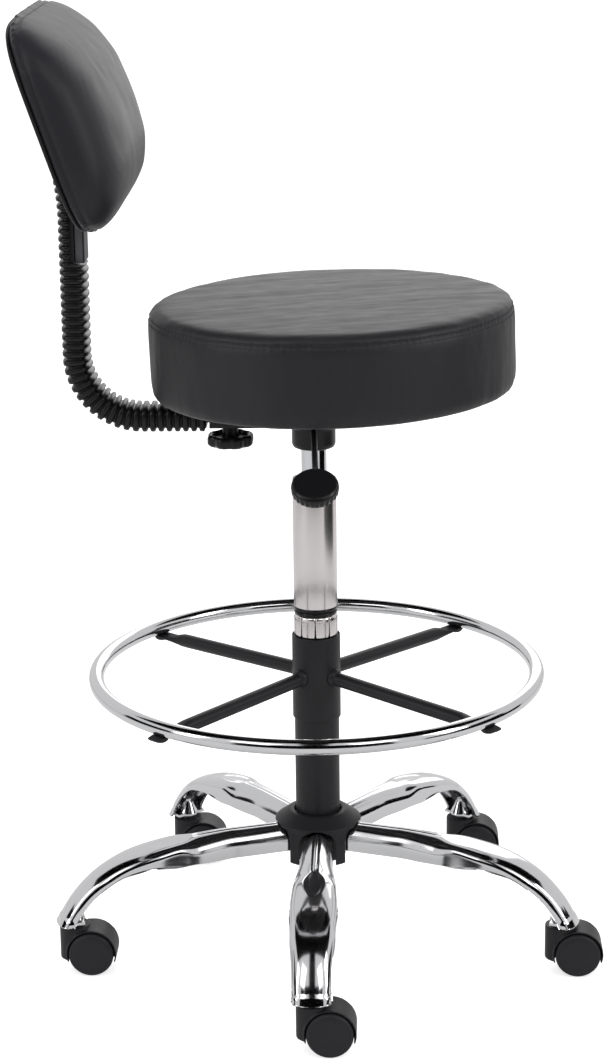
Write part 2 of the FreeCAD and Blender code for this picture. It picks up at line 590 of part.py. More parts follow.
def make_seat_pan():
    half, high = s.pan_width / 2, s.seat_z - s.pan_z
    outer = box("pan_outer", (-half, -s.pan_front, s.pan_z),
                (s.pan_width, s.pan_front + s.pan_rear, high + 10))
    inner = box("pan_inner", (-half + s.pan_wall, -s.pan_front + s.pan_wall, s.pan_z + s.pan_wall),
                (s.pan_width - 2 * s.pan_wall, s.pan_front + s.pan_rear, high + 10))
    above = on_seat(solid("Box", "above_plate", Length=600, Width=600, Height=80),
                    (-300, -300, -s.plate_thickness))
    neck = rod("neck_hole", (0, 0, s.pan_z - 1), s.collar_neck_od / 2, s.pan_wall + 2)
    stud = rod("stud_hole", (0, s.knob_y, s.pan_z - 1), s.knob_stud_od / 2 + 0.5, s.pan_wall + 2)
    slot_z = s.lever_pivot_z - s.lever_od / 2 - 6
    slot = box("lever_slot", (-half - 5, -s.lever_od, slot_z), (20, 2 * s.lever_od, 30))
    trough = cut("pan_trough", outer, inner, above, neck, stud, slot)
    keep("seat_pan", fuse("seat_pan", trough, bar_channel(), *lever_lugs()))


def lever_lugs():
    """Two ears on the pan's side wall that carry the lever's pin."""
    wall = -s.pan_width / 2 + s.pan_wall / 2
    lugs = []
    for low in (s.lug_gap / 2, -s.lug_gap / 2 - s.lug_thickness):
        ear = box("lug_ear", (wall, low, s.lug_z), (s.lug_length, s.lug_thickness, s.lug_height))
        hole = rod("lug_hole", (-s.lever_pivot_x, low - 1, s.lever_pivot_z),
                   s.lever_pin_od / 2 + s.running_gap, s.lug_thickness + 2, X_AXIS, -90)
        lugs.append(cut("lug", ear, hole))
    return lugs


def make_collar():
    foot, step = s.collar_z, s.collar_z + s.collar_height
    top = s.collar_neck_top_z
    grow = (s.lift_od - s.taper_top_od) / s.taper_length / 2

    def bore_at(level):
        return s.lift_od / 2 - (level - (s.lift_top_z - s.taper_length)) * grow

    mouth = s.lift_top_z - s.taper_length
    collar = turned("taper_collar", [
        (s.lift_od / 2 + 1, foot), (s.collar_od / 2 - 4, foot), (s.collar_od / 2 - 1, foot + 1.5),
        (s.collar_od / 2, foot + 4.5), (s.collar_od / 2, step), (s.collar_flange_od / 2, step),
        (s.collar_flange_od / 2, step + s.collar_flange), (s.collar_neck_od / 2, step + s.collar_flange),
        (s.collar_neck_od / 2, top), (bore_at(top), top), (s.lift_od / 2, mouth), (s.lift_od / 2 + 1, mouth)])
    keep("taper_collar", collar)


def make_lever():
    pivot = Vec(-mm(s.lever_pivot_x), 0, mm(s.lever_pivot_z))
    rise = mm(s.lift_top_z + s.pin_proud + s.sliding_gap + s.lever_od / 2)
    tongue = Vec(pivot.x + mm(s.lever_tongue), 0, rise)
    knee = Vec(-mm(s.pan_width) / 2 - 16, -mm(s.lever_sweep) / 8, mm(s.lever_end_z) + 6)
    end = Vec(-mm(s.lever_reach), -mm(s.lever_sweep), mm(s.lever_end_z))
    points = [tongue, Vec(pivot.x + 12, 0, rise), pivot, knee, end]
    radius = mm(s.lever_od) / 2
    pieces = []
    for here, there in zip(points, points[1:]):
        run = there - here
        pieces.append(Part.makeCylinder(radius, run.Length, here, run))
        pieces.append(Part.makeSphere(radius, there))
    pieces.append(Part.makeSphere(radius, tongue))
    reach = mm(s.lug_gap) / 2 + mm(s.lug_thickness) + 0.5
    pin = Part.makeCylinder(mm(s.lever_pin_od) / 2, 2 * reach, Vec(pivot.x, -reach, pivot.z), Y_AXIS)
    rod_shape = pieces[0].multiFuse(pieces[1:] + [pin]).removeSplitter()

    tilt = FreeCAD.Rotation(Y_AXIS, -mm(s.paddle_slope))
    thick, wide = mm(s.paddle_thickness), mm(s.paddle_od) / 2
    disc = Part.makeCylinder(wide, thick, Vec(0, 0, -thick / 2))
    disc = disc.makeFillet(2.5, [e for e in disc.Edges if isinstance(e.Curve, Part.Circle)])
    flutes = [Part.makeCylinder(1.1, thick, Vec((wide + 0.4) * math.cos(math.radians(a)),
                                               (wide + 0.4) * math.sin(math.radians(a)), -thick / 2))
              for a in around(mm(s.paddle_flutes))]
    disc = disc.cut(flutes[0].multiFuse(flutes[1:]))
    disc.Placement = FreeCAD.Placement(Vec(-mm(s.paddle_x), -mm(s.lever_sweep), mm(s.paddle_z)), tilt)
    rod_shape = rod_shape.cut(disc)
    keep("lever_rod", shape_of("lever_rod", max(rod_shape.Solids, key=lambda body: body.Volume)))
    keep("lever_paddle", shape_of("lever_paddle", disc))


# ---------------------------------------------------------------- back bar and bellows

def bar_lean_point(angle, rearward=0.0):
    """A point of the bar's middle line (or behind it) in the bend where it starts to lean back."""
    rear, sweep, low = mm(s.bar_rear), mm(s.bar_lean_bend), mm(s.bar_lean_z)
    reach = sweep - rearward
    return Vec(0, rear + sweep - reach * math.cos(angle), low + reach * math.sin(angle))


def bar_top():
    """Where the bar's straight leaning part starts, and its direction."""
    lean = math.radians(mm(s.bar_lean))
    return bar_lean_point(lean), Vec(0, math.sin(lean), math.cos(lean))


def bar_path(front, lean, upper_length=0.0):
    """The bar's middle line in the plane x = 0, up to a lean angle and then straight on."""
    rear, level, bend = mm(s.bar_rear), mm(bar_z()), mm(s.bar_bend)
    low, up = Vec(0, rear - bend, level), Vec(0, rear, level + bend)
    corner = Vec(0, rear - bend * (1 - math.sqrt(0.5)), level + bend * (1 - math.sqrt(0.5)))
    hip, top = bar_lean_point(0.0), bar_lean_point(lean)
    runs = [Part.makeLine(Vec(0, front, level), low), Part.Arc(low, corner, up).toShape(),
            Part.makeLine(up, hip), Part.Arc(hip, bar_lean_point(lean / 2), top).toShape()]
    if upper_length > 0:
        runs.append(Part.makeLine(top, top + bar_top()[1] * upper_length))
    return Part.Wire(runs)


def strip_section(front, width, depth, corner):
    """A rounded rectangle square to the bar at its front end."""
    level = mm(bar_z())
    half, high = width / 2, depth / 2
    flat = Part.makePlane(width, depth, Vec(-half, front, level + high), Vec(0, 1, 0), Vec(1, 0, 0))
    wire = flat.OuterWire
    if corner <= 0:
        return wire
    turn = corner * (1 - math.sqrt(0.5))
    edges = []
    for sx, sz in ((1, 1), (1, -1), (-1, -1), (-1, 1)):
        side = Vec(sx * half, front, level + sz * (high - corner))
        top = Vec(sx * (half - corner), front, level + sz * high)
        middle = Vec(sx * (half - turn), front, level + sz * (high - turn))
        edges.append((top, middle, side) if sx * sz > 0 else (side, middle, top))
    ring = []
    for number, arc in enumerate(edges):
        ring.append(Part.Arc(*arc).toShape())
        ring.append(Part.makeLine(arc[2], edges[(number + 1) % 4][0]))
    return Part.Wire(ring)


def make_back_bar():
    front = mm(s.bar_front)
    bar = bar_path(front, math.radians(mm(s.bar_lean)), mm(s.bar_upper)).makePipeShell(
        [strip_section(front, mm(s.bar_width), mm(s.bar_thickness), 1.0)], True, True)
    bar_face = s.bar_rear - s.bar_thickness / 2
    strip = box("strip_face", (-s.strip_width / 2, s.strip_front, s.strip_z),
                (s.strip_width, s.strip_thickness, s.strip_height))
    spacer = box("strip_spacer", (-s.strip_width / 4, s.strip_front + s.strip_thickness, s.strip_z + 6),
                 (s.strip_width / 2, bar_face - s.strip_front - s.strip_thickness + 0.5, 10))
    keep("back_bar", fuse("back_bar", shape_of("bent_bar", bar), strip, spacer))


def make_bellows():
    front, stop = mm(s.bellows_front), math.radians(mm(s.bellows_stop))
    path = bar_path(front, stop)
    wide, deep, wall = mm(s.bellows_width), mm(s.bellows_depth), mm(s.bellows_wall)
    outer = path.makePipeShell([strip_section(front, wide, deep, 10.0)], True, True)
    inner = path.makePipeShell(
        [strip_section(front, wide - 2 * wall, deep - 2 * wall, 10.0 - wall)], True, True)
    # above its front edge the sleeve covers only the bar's rear side
    edge = [Vec(0, mm(s.bar_rear) + 1, mm(s.bellows_front_top_z))]
    edge += [bar_lean_point(stop * k / 4, 1.0) for k in range(7)]
    ring = edge + [Vec(0, edge[0].y - 90, edge[-1].z), Vec(0, edge[0].y - 90, edge[0].z)]
    ring = [p - X_AXIS * wide for p in ring]
    open_front = Part.Face(Part.makePolygon(ring + ring[:1])).extrude(X_AXIS * (2 * wide))
    keep("bellows", shape_of("bellows", outer.cut(inner).cut(open_front)))


def bar_channel():
    """The flat tunnel, welded into the pan, that the back bar slides in."""
    wall, gap = s.channel_wall, s.sliding_gap
    inner_w, inner_h = s.bar_width + 2 * gap, s.bar_thickness + 2 * gap
    low = bar_z() - inner_h / 2 - wall
    outer = box("channel_outer", (-inner_w / 2 - wall, s.channel_front, low),
                (inner_w + 2 * wall, s.channel_rear - s.channel_front, inner_h + 2 * wall))
    inner = box("channel_inner", (-inner_w / 2, s.channel_front - 1, low + wall),
                (inner_w, s.channel_rear - s.channel_front + 2, inner_h))
    hole = rod("channel_hole", (0, s.knob_y, low - 1), s.knob_stud_od / 2 + s.running_gap, wall + 2)
    return cut("bar_channel", outer, inner, hole)


def make_knob():
    low, high = s.knob_z, s.knob_z + s.knob_height
    radius, neck = s.knob_od / 2, s.knob_neck_od / 2
    stud_top = bar_z() - s.bar_thickness / 2 - s.sliding_gap
    body = turned("knob_body", [
        (0, low), (radius - 2, low), (radius, low + 2), (radius, high - 1.5), (radius - 1.5, high),
        (radius - 4, high), (radius - 5, high - 4), (neck + 1, high - 4), (neck, high - 2),
        (neck, s.pan_z - s.sliding_gap), (s.knob_stud_od / 2, s.pan_z - s.sliding_gap),
        (s.knob_stud_od / 2, stud_top), (0, stud_top)], (0, s.knob_y, 0))
    grip = s.knob_od / 10
    notches = []
    for direction in around(mm(s.knob_lobes), 22.5):
        x, y, _ = polar(radius + grip * 0.55, direction)
        notches.append(rod("knob_notch", (x, s.knob_y + y, low - 1), grip, s.knob_height + 2))
    keep("depth_knob", cut("depth_knob", body, *notches))


# ---------------------------------------------------------------- backrest

def back_frame(thing):
    """Puts a thing into the backrest's leaning frame: its rear face is y = 0, its middle z = 0."""
    upper, along = bar_top()
    forward = Vec(0, -along.z, along.y)
    origin = upper + along * mm(s.back_centre) + forward * mm(s.back_set)
    thing.Placement = FreeCAD.Placement(origin, FreeCAD.Rotation(X_AXIS, -mm(s.bar_lean)))
    return thing


def rounded_block(name, width, height, depth, corner, rear):
    """A block with rounded corners, seen from the front, that runs forward from y = rear."""
    body = doc.addObject("PartDesign::Body", name)
    half, high = width / 2, height / 2
    sketch = outline(body, "XZ_Plane", [(-half, -high), (half, -high), (half, high), (-half, high)])
    pad = body.newObject("PartDesign::Pad", name + "_pad")
    pad.Profile = sketch
    bind(pad, "Length", depth)
    doc.recompute()
    if pad.Shape.BoundBox.YMax > 0.01:
        pad.Reversed = True
        doc.recompute()
    uprights = [f"Edge{k}" for k, edge in enumerate(pad.Shape.Edges, start=1)
                if edge.BoundBox.XLength < 0.01 and edge.BoundBox.ZLength < 0.01]
    fillet = body.newObject("PartDesign::Fillet", name + "_corners")
    fillet.Base = (pad, uprights)
    bind(fillet, "Radius", corner)
    sketch.Visibility = False
    return group(name + "_placed", [place(body, (0, rear, 0))])


def side_profile(name, role, points, length):
    """A long bar of one cross-section, drawn on a plane of the body and grown both ways from it."""
    body = doc.addObject("PartDesign::Body", name)
    sketch = outline(body, role, points)
    pad = body.newObject("PartDesign::Pad", name + "_pad")
    pad.Profile = sketch
    pad.Midplane = True
    bind(pad, "Length", length)
    sketch.Visibility = False
    return body


def make_backrest():
    rear, front, high, half = -s.shell_thickness, -s.back_depth, s.back_height / 2, s.back_width / 2
    block = rounded_block("back_block", s.back_width, s.back_height, s.back_depth - s.shell_thickness + 2,
                          s.back_corner, rear)
    # seen from the side the pad is fullest below its middle, where it meets the small of the back
    side = side_profile("back_side", "YZ_Plane", [
        (rear, -1.01 * high), (0.435 * front, -1.01 * high), (0.685 * front, -0.93 * high),
        (0.858 * front, -0.75 * high), (0.972 * front, -0.45 * high), (front, -0.1 * high),
        (0.942 * front, 0.3 * high), (0.79 * front, 0.6 * high), (0.526 * front, 0.85 * high),
        (0.253 * front, 0.96 * high), (rear, high)], s.back_width + 20)
    plan = side_profile("back_plan", "XY_Plane", [
        (-half, rear), (-half, front * 0.35), (-0.9 * half, front * 0.66), (-0.72 * half, front * 0.87),
        (-0.4 * half, front), (0.4 * half, front), (0.72 * half, front * 0.87), (0.9 * half, front * 0.66),
        (half, front * 0.35), (half, rear)], s.back_height + 20)
    pad = doc.addObject("Part::MultiCommon", "back_pad")
    pad.Shapes = [block, side, plan]
    inset = 2 * s.back_board_inset
    board_size = (s.back_width - inset, s.back_height - inset, s.back_board_thickness,
                  s.back_corner - s.back_board_inset / 2)
    recess = rounded_block("back_recess", *board_size, rear)
    keep("back_cushion", back_frame(cut("back_cushion", pad, recess)))
    keep("back_board", back_frame(rounded_block("back_board", *board_size, rear)))
    lip = 2 * s.shell_inset
    keep("back_shell", back_frame(rounded_block(
        "back_shell", s.back_width - lip, s.back_height - lip, s.shell_thickness,
        s.back_corner - s.shell_inset, 0)))


def make_bracket():
    wall, gap = s.bracket_wall, s.sliding_gap
    inner_w, inner_h = s.bar_width + 2 * gap, s.bar_thickness + 2 * gap
    front = s.back_set - inner_h / 2
    plate = box("bracket_plate", (-s.bracket_width / 2, 0, -s.bracket_height / 2),
                (s.bracket_width, s.bracket_thickness, s.bracket_height))
    sleeve = box("bracket_sleeve", (-inner_w / 2 - wall, 0, s.bracket_sleeve_z - s.bracket_sleeve / 2),
                 (inner_w + 2 * wall, front + inner_h + wall, s.bracket_sleeve))
    tunnel = box("bracket_tunnel", (-inner_w / 2, front, -s.bracket_height),
                 (inner_w, inner_h, 2 * s.bracket_height))
    keep("back_bracket", back_frame(cut("back_bracket", fuse("bracket_body", plate, sleeve), tunnel)))


# ---------------------------------------------------------------- build, check and write

def main():
    for make in (make_legs, make_hub, make_sockets, make_casters, make_column, make_lift, make_foot_ring,
                 make_seat, make_seat_pan, make_collar, make_lever, make_back_bar, make_bellows, make_knob,
                 make_backrest, make_bracket):
        make()
    doc.recompute()
    for thing in doc.Objects:
        if "Invalid" in thing.State or "Error" in thing.State:
            raise RuntimeError(f"{thing.Label}: {thing.State}")
    for label, thing in nodes.items():
        if thing.Shape.isNull() or not thing.Shape.isValid() or not thing.Shape.Solids:
            raise RuntimeError(f"{label}: its shape is empty or not valid")
    os.makedirs("parts", exist_ok=True)
    for label, thing in sorted(nodes.items()):
        thing.Shape.exportStep(f"parts/{label}.step")
        print(f"{label}: {len(thing.Shape.Solids)} solid(s), {thing.Shape.Volume / 1000:.1f} cm3")


main()
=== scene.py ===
import json
import math

import bpy
from mathutils import Matrix, Vector, noise
from mathutils.bvhtree import BVHTree


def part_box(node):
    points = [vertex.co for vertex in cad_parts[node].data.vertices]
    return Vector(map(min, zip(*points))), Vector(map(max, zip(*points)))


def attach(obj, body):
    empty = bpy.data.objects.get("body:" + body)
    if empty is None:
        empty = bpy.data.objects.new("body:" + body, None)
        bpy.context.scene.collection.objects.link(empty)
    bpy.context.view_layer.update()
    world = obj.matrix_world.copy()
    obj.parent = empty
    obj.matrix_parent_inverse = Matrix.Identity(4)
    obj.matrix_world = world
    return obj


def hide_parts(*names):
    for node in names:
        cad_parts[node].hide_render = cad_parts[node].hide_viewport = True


# Looks for the drafting chair: everything is in metres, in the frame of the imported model.

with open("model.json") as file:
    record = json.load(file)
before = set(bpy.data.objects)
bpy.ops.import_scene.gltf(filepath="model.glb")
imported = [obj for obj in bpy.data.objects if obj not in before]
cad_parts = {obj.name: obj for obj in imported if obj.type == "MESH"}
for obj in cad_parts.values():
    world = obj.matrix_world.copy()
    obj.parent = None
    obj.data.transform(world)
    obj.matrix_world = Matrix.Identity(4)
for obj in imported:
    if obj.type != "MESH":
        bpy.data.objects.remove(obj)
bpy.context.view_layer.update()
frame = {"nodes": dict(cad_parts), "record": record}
MM = 0.001
joints = {joint["name"]: joint for joint in frame["record"]["behaviour"]["joints"]}


def corners(node):
    """The lowest and highest corner of a CAD node's box."""
    low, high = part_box(node)
    return Vector(low), Vector(high)


def joint_at(name):
    """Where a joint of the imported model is."""
    return Vector(joints[name]["pos_m"])


# ---------------------------------------------------------------- materials

DRIFT_SIZE = 60.0     # mm across a patch of slightly lighter or darker colour
SMUDGE_SIZE = 25.0    # mm across a patch of slightly duller or brighter gloss


def linear(hex_colour):
    """A linear RGBA colour from an sRGB hex string."""
    parts = [int(hex_colour[i:i + 2], 16) / 255 for i in (1, 3, 5)]
    return [p / 12.92 if p <= 0.04045 else ((p + 0.055) / 1.055) ** 2.4 for p in parts] + [1.0]


def add(tree, kind, settings=None, **inputs):
    """Adds a node; inputs are constants or (node, output) pairs, named with _ for spaces."""
    node = tree.nodes.new("ShaderNode" + kind)
    for name, value in (settings or {}).items():
        setattr(node, name, value)
    for name, value in inputs.items():
        socket = node.inputs[name.replace("_", " ")]
        if isinstance(value, tuple) and hasattr(value[0], "outputs"):
            tree.links.new(value[0].outputs[value[1]], socket)
        else:
            socket.default_value = value
    return node


def surface(name, colour, rough, metal=0.0, grain=0.0, grain_size=0.5, cells=0.0, cell_size=1.2,
            wave=0.0, wave_size=40.0, shade=0.06, rough_spread=0.06, stretch=(1, 1, 1), dark=None,
            specular=0.28):
    """A finish with colour drift, uneven gloss, fine grain, leather cells and soft waves.

    Heights and sizes of the grain, cells and waves are in millimetres on the real thing. shade and
    rough_spread say how far the colour and the gloss wander from their middle, and stretch below 1 draws a
    pattern out along that axis, as drawing or turning a tube does.
    """
    made = bpy.data.materials.new(name)
    made.use_nodes = True
    tree = made.node_tree
    tree.nodes.clear()
    place = add(tree, "TexCoord")
    spread = add(tree, "Mapping", Vector=(place, "Object"), Scale=stretch)
    drift = add(tree, "TexNoise", Vector=(spread, 0), Scale=1000 / DRIFT_SIZE, Detail=3.0)
    base = linear(colour)
    lighter = [min(1.0, c * (1 + shade) + shade * 0.01) for c in base[:3]] + [1.0]
    darker = [c * (1 - shade) for c in base[:3]] + [1.0]
    if dark:
        darker = linear(dark)
    tint = add(tree, "Mix", {"data_type": "RGBA"}, Factor=(drift, "Fac"))
    tint.inputs[6].default_value = darker
    tint.inputs[7].default_value = lighter
    smudge = add(tree, "TexNoise", Vector=(spread, 0), Scale=1000 / SMUDGE_SIZE, Detail=4.0)
    gloss = add(tree, "MapRange", Value=(smudge, "Fac"), To_Min=max(0.02, rough - rough_spread),
                To_Max=min(1.0, rough + rough_spread))
    shader = add(tree, "BsdfPrincipled", Base_Color=(tint, 2), Metallic=metal, Roughness=(gloss, 0),
                 Specular_IOR_Level=specular)
    bump = None
    for strength, size, kind in ((grain, grain_size, "TexNoise"), (cells, cell_size, "TexVoronoi"),
                                 (wave, wave_size, "TexNoise")):
        if strength <= 0:
            continue
        texture = add(tree, kind, Vector=(spread, 0), Scale=1000.0 / size)
        out = "Distance" if kind == "TexVoronoi" else "Fac"
        inputs = dict(Height=(texture, out), Strength=1.0, Distance=strength * MM)
        if bump:
            inputs["Normal"] = (bump, 0)
        bump = add(tree, "Bump", **inputs)
    if bump:
        tree.links.new(bump.outputs[0], shader.inputs["Normal"])
    add(tree, "OutputMaterial", Surface=(shader, 0))
    return made


# Grain finer than about 0.3 mm doesn't show at this distance, so the real, finer grain of the plastics and
# the coating is drawn this coarse, to show at all. Only the thread's is finer.

# chromium-plated pressed steel: a cool mirror, a little blurred, with the sheet's soft waves in it
CHROME = surface("chrome", "#d6d6d8", 0.11, metal=1.0, wave=0.04, wave_size=30, shade=0.02,
                 rough_spread=0.02)
# chromium-plated drawn tube: a duller, warmer mirror with drawing marks along its length
TUBE_CHROME = surface("tube_chrome", "#dcd6d6", 0.20, metal=1.0, grain=0.004, grain_size=0.4, shade=0.03,
                      rough_spread=0.04, stretch=(1, 1, 0.03))
# ground and plated cylinder of the gas lift: the brightest and smoothest metal here
PISTON = surface("piston_chrome", "#d4d5d8", 0.09, metal=1.0, grain=0.002, grain_size=0.5, shade=0.02,
                 rough_spread=0.03, stretch=(1, 1, 0.05))
# zinc-plated steel fasteners, axles and stems: grey and half blurred
STEEL = surface("bright_steel", "#9a9da2", 0.28, metal=1.0, grain=0.01, grain_size=0.3, shade=0.08)
# powder-coated steel: near black, half gloss, with an orange-peel surface
POWDER = surface("powder_coat", "#1c1c1f", 0.42, grain=0.03, grain_size=0.7, wave=0.03, wave_size=3.0,
                 shade=0.08, rough_spread=0.05)
# moulded polypropylene of the hub's cover: flat black with a spark-eroded grain
HUB = surface("hub_plastic", "#1d1d20", 0.46, grain=0.035, grain_size=0.45, shade=0.06, rough_spread=0.04)
# moulded nylon of the caster hoods: black with a soft sheen
NYLON = surface("caster_nylon", "#1a1a1d", 0.44, grain=0.025, grain_size=0.5, wave=0.02, wave_size=6.0,
                shade=0.07, rough_spread=0.06)
# moulded nylon of the rollers: slightly greyer and duller than the hoods, from rolling
TYRE = surface("wheel_nylon", "#202024", 0.5, grain=0.03, grain_size=0.35, shade=0.07, rough_spread=0.07)
# injection-moulded ABS: smooth black with clear, soft-edged highlights
GLOSS = surface("moulded_black", "#111113", 0.30, grain=0.015, grain_size=0.5, shade=0.06, rough_spread=0.05)
# nitrile rubber bands: deep black, faintly wet-looking
RUBBER = surface("rubber", "#111112", 0.22, grain=0.01, grain_size=0.4, shade=0.1)
# blow-moulded polyethylene of the ribbed sleeve: black, with a small highlight on every rib
BELLOWS = surface("bellows_plastic", "#151517", 0.30, grain=0.02, grain_size=0.5, shade=0.08,
                  rough_spread=0.06)
# embossed vinyl cloth: black, half gloss, with small leather cells and slack waves
VINYL = surface("seat_vinyl", "#202023", 0.46, grain=0.02, grain_size=0.35, cells=0.09, cell_size=1.1,
                wave=0.30, wave_size=22, shade=0.05, rough_spread=0.05, specular=0.30)
# the same vinyl cloth drawn tighter over the backrest, so that its cells and waves are shallower
BACK_VINYL = surface("back_vinyl", "#252529", 0.44, grain=0.012, grain_size=0.35, cells=0.05, cell_size=1.1,
                     wave=0.22, wave_size=45, shade=0.05, rough_spread=0.04, specular=0.18)
# moulded polypropylene of the backrest's tray: flat black with a coarse grain
SHELL = surface("shell_plastic", "#121214", 0.5, grain=0.06, grain_size=0.7, shade=0.07)
# grey enamel of the strip in front of the bar
PLATE = surface("bar_plate_paint", "#4b4b4e", 0.38, grain=0.02, grain_size=0.6, shade=0.08)
# spun polyester thread: flat black and fibrous
THREAD = surface("thread", "#232326", 0.6, grain=0.05, grain_size=0.15, shade=0.1)
# dark-stained plywood: brown-black, with the figure drawn out along one axis
PLY = surface("stained_plywood", "#2c2825", 0.6, grain=0.03, grain_size=0.6, shade=0.10, dark="#1d1a18",
              stretch=(1, 0.08, 1))


# ---------------------------------------------------------------- mesh making

EDGE_ANGLE = 40    # degrees: edges sharper than this get a bevel


def piece(name, points, faces, material, body, replaces=()):
    """A new closed piece that rides on a CAD body and stands for CAD nodes."""
    mesh = bpy.data.meshes.new(name)
    mesh.from_pydata([tuple(p) for p in points], [], faces)
    mesh.validate()
    thing = bpy.data.objects.new(name, mesh)
    bpy.context.collection.objects.link(thing)
    mesh.materials.append(material)
    outward(thing)
    mesh.shade_smooth()
    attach(thing, body)
    if replaces:
        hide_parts(*replaces)
    return thing


def outward(thing):
    """Turns all of a piece's faces to look outwards."""
    bpy.context.view_layer.objects.active = thing
    thing.select_set(True)
    bpy.ops.object.mode_set(mode="EDIT")
    bpy.ops.mesh.select_all(action="SELECT")
    bpy.ops.mesh.normals_make_consistent(inside=False)
    bpy.ops.object.mode_set(mode="OBJECT")
    thing.select_set(False)


def skin(rings, ends=True, loop=False):
    """Points and faces of a surface through rings of equally many points.

    ends closes the first and last ring, and loop joins the last ring to the first instead.
    """
    count = len(rings[0])
    points = [p for ring in rings for p in ring]
    faces = []
    pairs = list(zip(range(len(rings) - 1), range(1, len(rings))))
    if loop:
        pairs.append((len(rings) - 1, 0))
    for a, b in pairs:
        for k in range(count):
            j = (k + 1) % count
            faces.append((a * count + k, a * count + j, b * count + j, b * count + k))
    if ends and not loop:
        for start, ring in ((0, rings[0]), ((len(rings) - 1) * count, rings[-1])):
            middle = len(points)
            points.append(sum((Vector(p) for p in ring), Vector()) / count)
            faces += [(start + k, start + (k + 1) % count, middle) for k in range(count)]
    return points, faces


def soften(profile, radius, steps=3):
    """Rounds the inner corners of a line of (radius, height) points."""
    line = [Vector(p) for p in profile]
    result = [line[0]]
    for before, here, after in zip(line, line[1:], line[2:]):
        cut = min(radius, 0.45 * (before - here).length, 0.45 * (after - here).length)
        a = here + (before - here).normalized() * cut
        b = here + (after - here).normalized() * cut
        for k in range(steps + 1):
            t = k / steps
            result.append(a * (1 - t) ** 2 + here * 2 * t * (1 - t) + b * t ** 2)
    return result + [line[-1]]


def turn(profile, matrix=None, steps=96, wobble=None):
    """A turned shape; wobble(angle, radius, height) changes the radius round the rim."""
    rings = []
    for r, z in profile:
        ring = []
        for k in range(steps):
            angle = 2 * math.pi * k / steps
            reach = max(r, 1e-5)
            if wobble:
                reach = wobble(angle, reach, z)
            ring.append(Vector((reach * math.cos(angle), reach * math.sin(angle), z)))
        rings.append(ring)
    hollow = profile[0][0] > 1e-4
    points, faces = skin(rings, ends=not hollow, loop=hollow)
    if matrix:
        points = [matrix @ p for p in points]
    return points, faces


def joined(parts):
    """Several (points, faces) shapes as one."""
    points, faces = [], []
    for more_points, more_faces in parts:
        faces += [tuple(i + len(points) for i in face) for face in more_faces]
        points += list(more_points)
    return points, faces


def softened_copy(node, name, voxel, passes, material):
    """A copy of a CAD node's mesh with its edges rounded by a fine even mesh and smoothing."""
    source = frame["nodes"][node]
    mesh = bpy.data.meshes.new_from_object(source.evaluated_get(bpy.context.evaluated_depsgraph_get()))
    mesh.materials.clear()
    mesh.materials.append(material)
    thing = bpy.data.objects.new(name, mesh)
    bpy.context.collection.objects.link(thing)
    remesh = thing.modifiers.new("even", "REMESH")
    remesh.mode = "VOXEL"
    remesh.voxel_size = voxel
    smooth = thing.modifiers.new("soft", "SMOOTH")
    smooth.iterations = passes
    bake(thing)
    thing.data.shade_smooth()
    return thing


def bake(thing):
    """Applies a piece's modifiers to its mesh."""
    graph = bpy.context.evaluated_depsgraph_get()
    graph.update()
    mesh = bpy.data.meshes.new_from_object(thing.evaluated_get(graph))
    old = thing.data
    thing.modifiers.clear()
    thing.data = mesh
    bpy.data.meshes.remove(old)


def finish_node(node, material, bevel=0.0):
    """Gives a CAD node that stays its real material, and soft edges where it has a bevel width."""
    thing = frame["nodes"][node]
    if not thing.data.materials:
        thing.data.materials.append(material)
    for k in range(len(thing.material_slots)):
        thing.material_slots[k].material = material
    if bevel > 0:
        edge = thing.modifiers.new("edge", "BEVEL")
        edge.width = bevel
        edge.segments = 2
        edge.limit_method = "ANGLE"
        edge.angle_limit = math.radians(EDGE_ANGLE)


def blend_in(low, high, value):
    """0 below low, 1 above high and a smooth step between."""
    t = min(1.0, max(0.0, (value - low) / (high - low)))
    return t * t * (3 - 2 * t)


# ---------------------------------------------------------------- camera, floor and light

def make_camera():
    """A long lens beside the chair, a little above the backrest, looking down at it."""
    data = bpy.data.cameras.new("camera")
    data.sensor_fit = "VERTICAL"
    data.sensor_height = 36.0
    data.lens = 90.6
    data.clip_end = 100
    camera = bpy.data.objects.new("camera", data)
    bpy.context.collection.objects.link(camera)
    at = (-2.8293, -0.0889, 1.2911)
    heading, pitch, roll = math.radians(-88.2) + 0.00362, 0.277285, -0.01274
    camera.matrix_world = (Matrix.Translation(at)
                           @ Matrix.Rotation(heading, 4, "Z")
                           @ Matrix.Rotation(math.pi / 2 - pitch, 4, "X")
                           @ Matrix.Rotation(roll, 4, "Z"))
    bpy.context.scene.camera = camera


def make_light(name, at, towards, size, power):
    """A white rectangular lamp of a size in metres and a power in watts."""
    data = bpy.data.lights.new(name, "AREA")
    data.shape = "RECTANGLE"
    data.size, data.size_y = size
    data.energy = power
    light = bpy.data.objects.new(name, data)
    bpy.context.collection.objects.link(light)
    light.location = at
    light.rotation_euler = (Vector(towards) - Vector(at)).to_track_quat("-Z", "Y").to_euler()
    return light


def stage_plane(name, centre, across, up, material):
    """A flat board of the stage, from its centre and its two half sides."""
    points = [Vector(centre) + Vector(across) * i + Vector(up) * j
              for i, j in ((-1, -1), (1, -1), (1, 1), (-1, 1))]
    mesh = bpy.data.meshes.new(name)
    mesh.from_pydata([tuple(p) for p in points], [], [(0, 1, 2, 3)])
    mesh.materials.append(material)
    plane = bpy.data.objects.new(name, mesh)
    bpy.context.collection.objects.link(plane)
    return plane


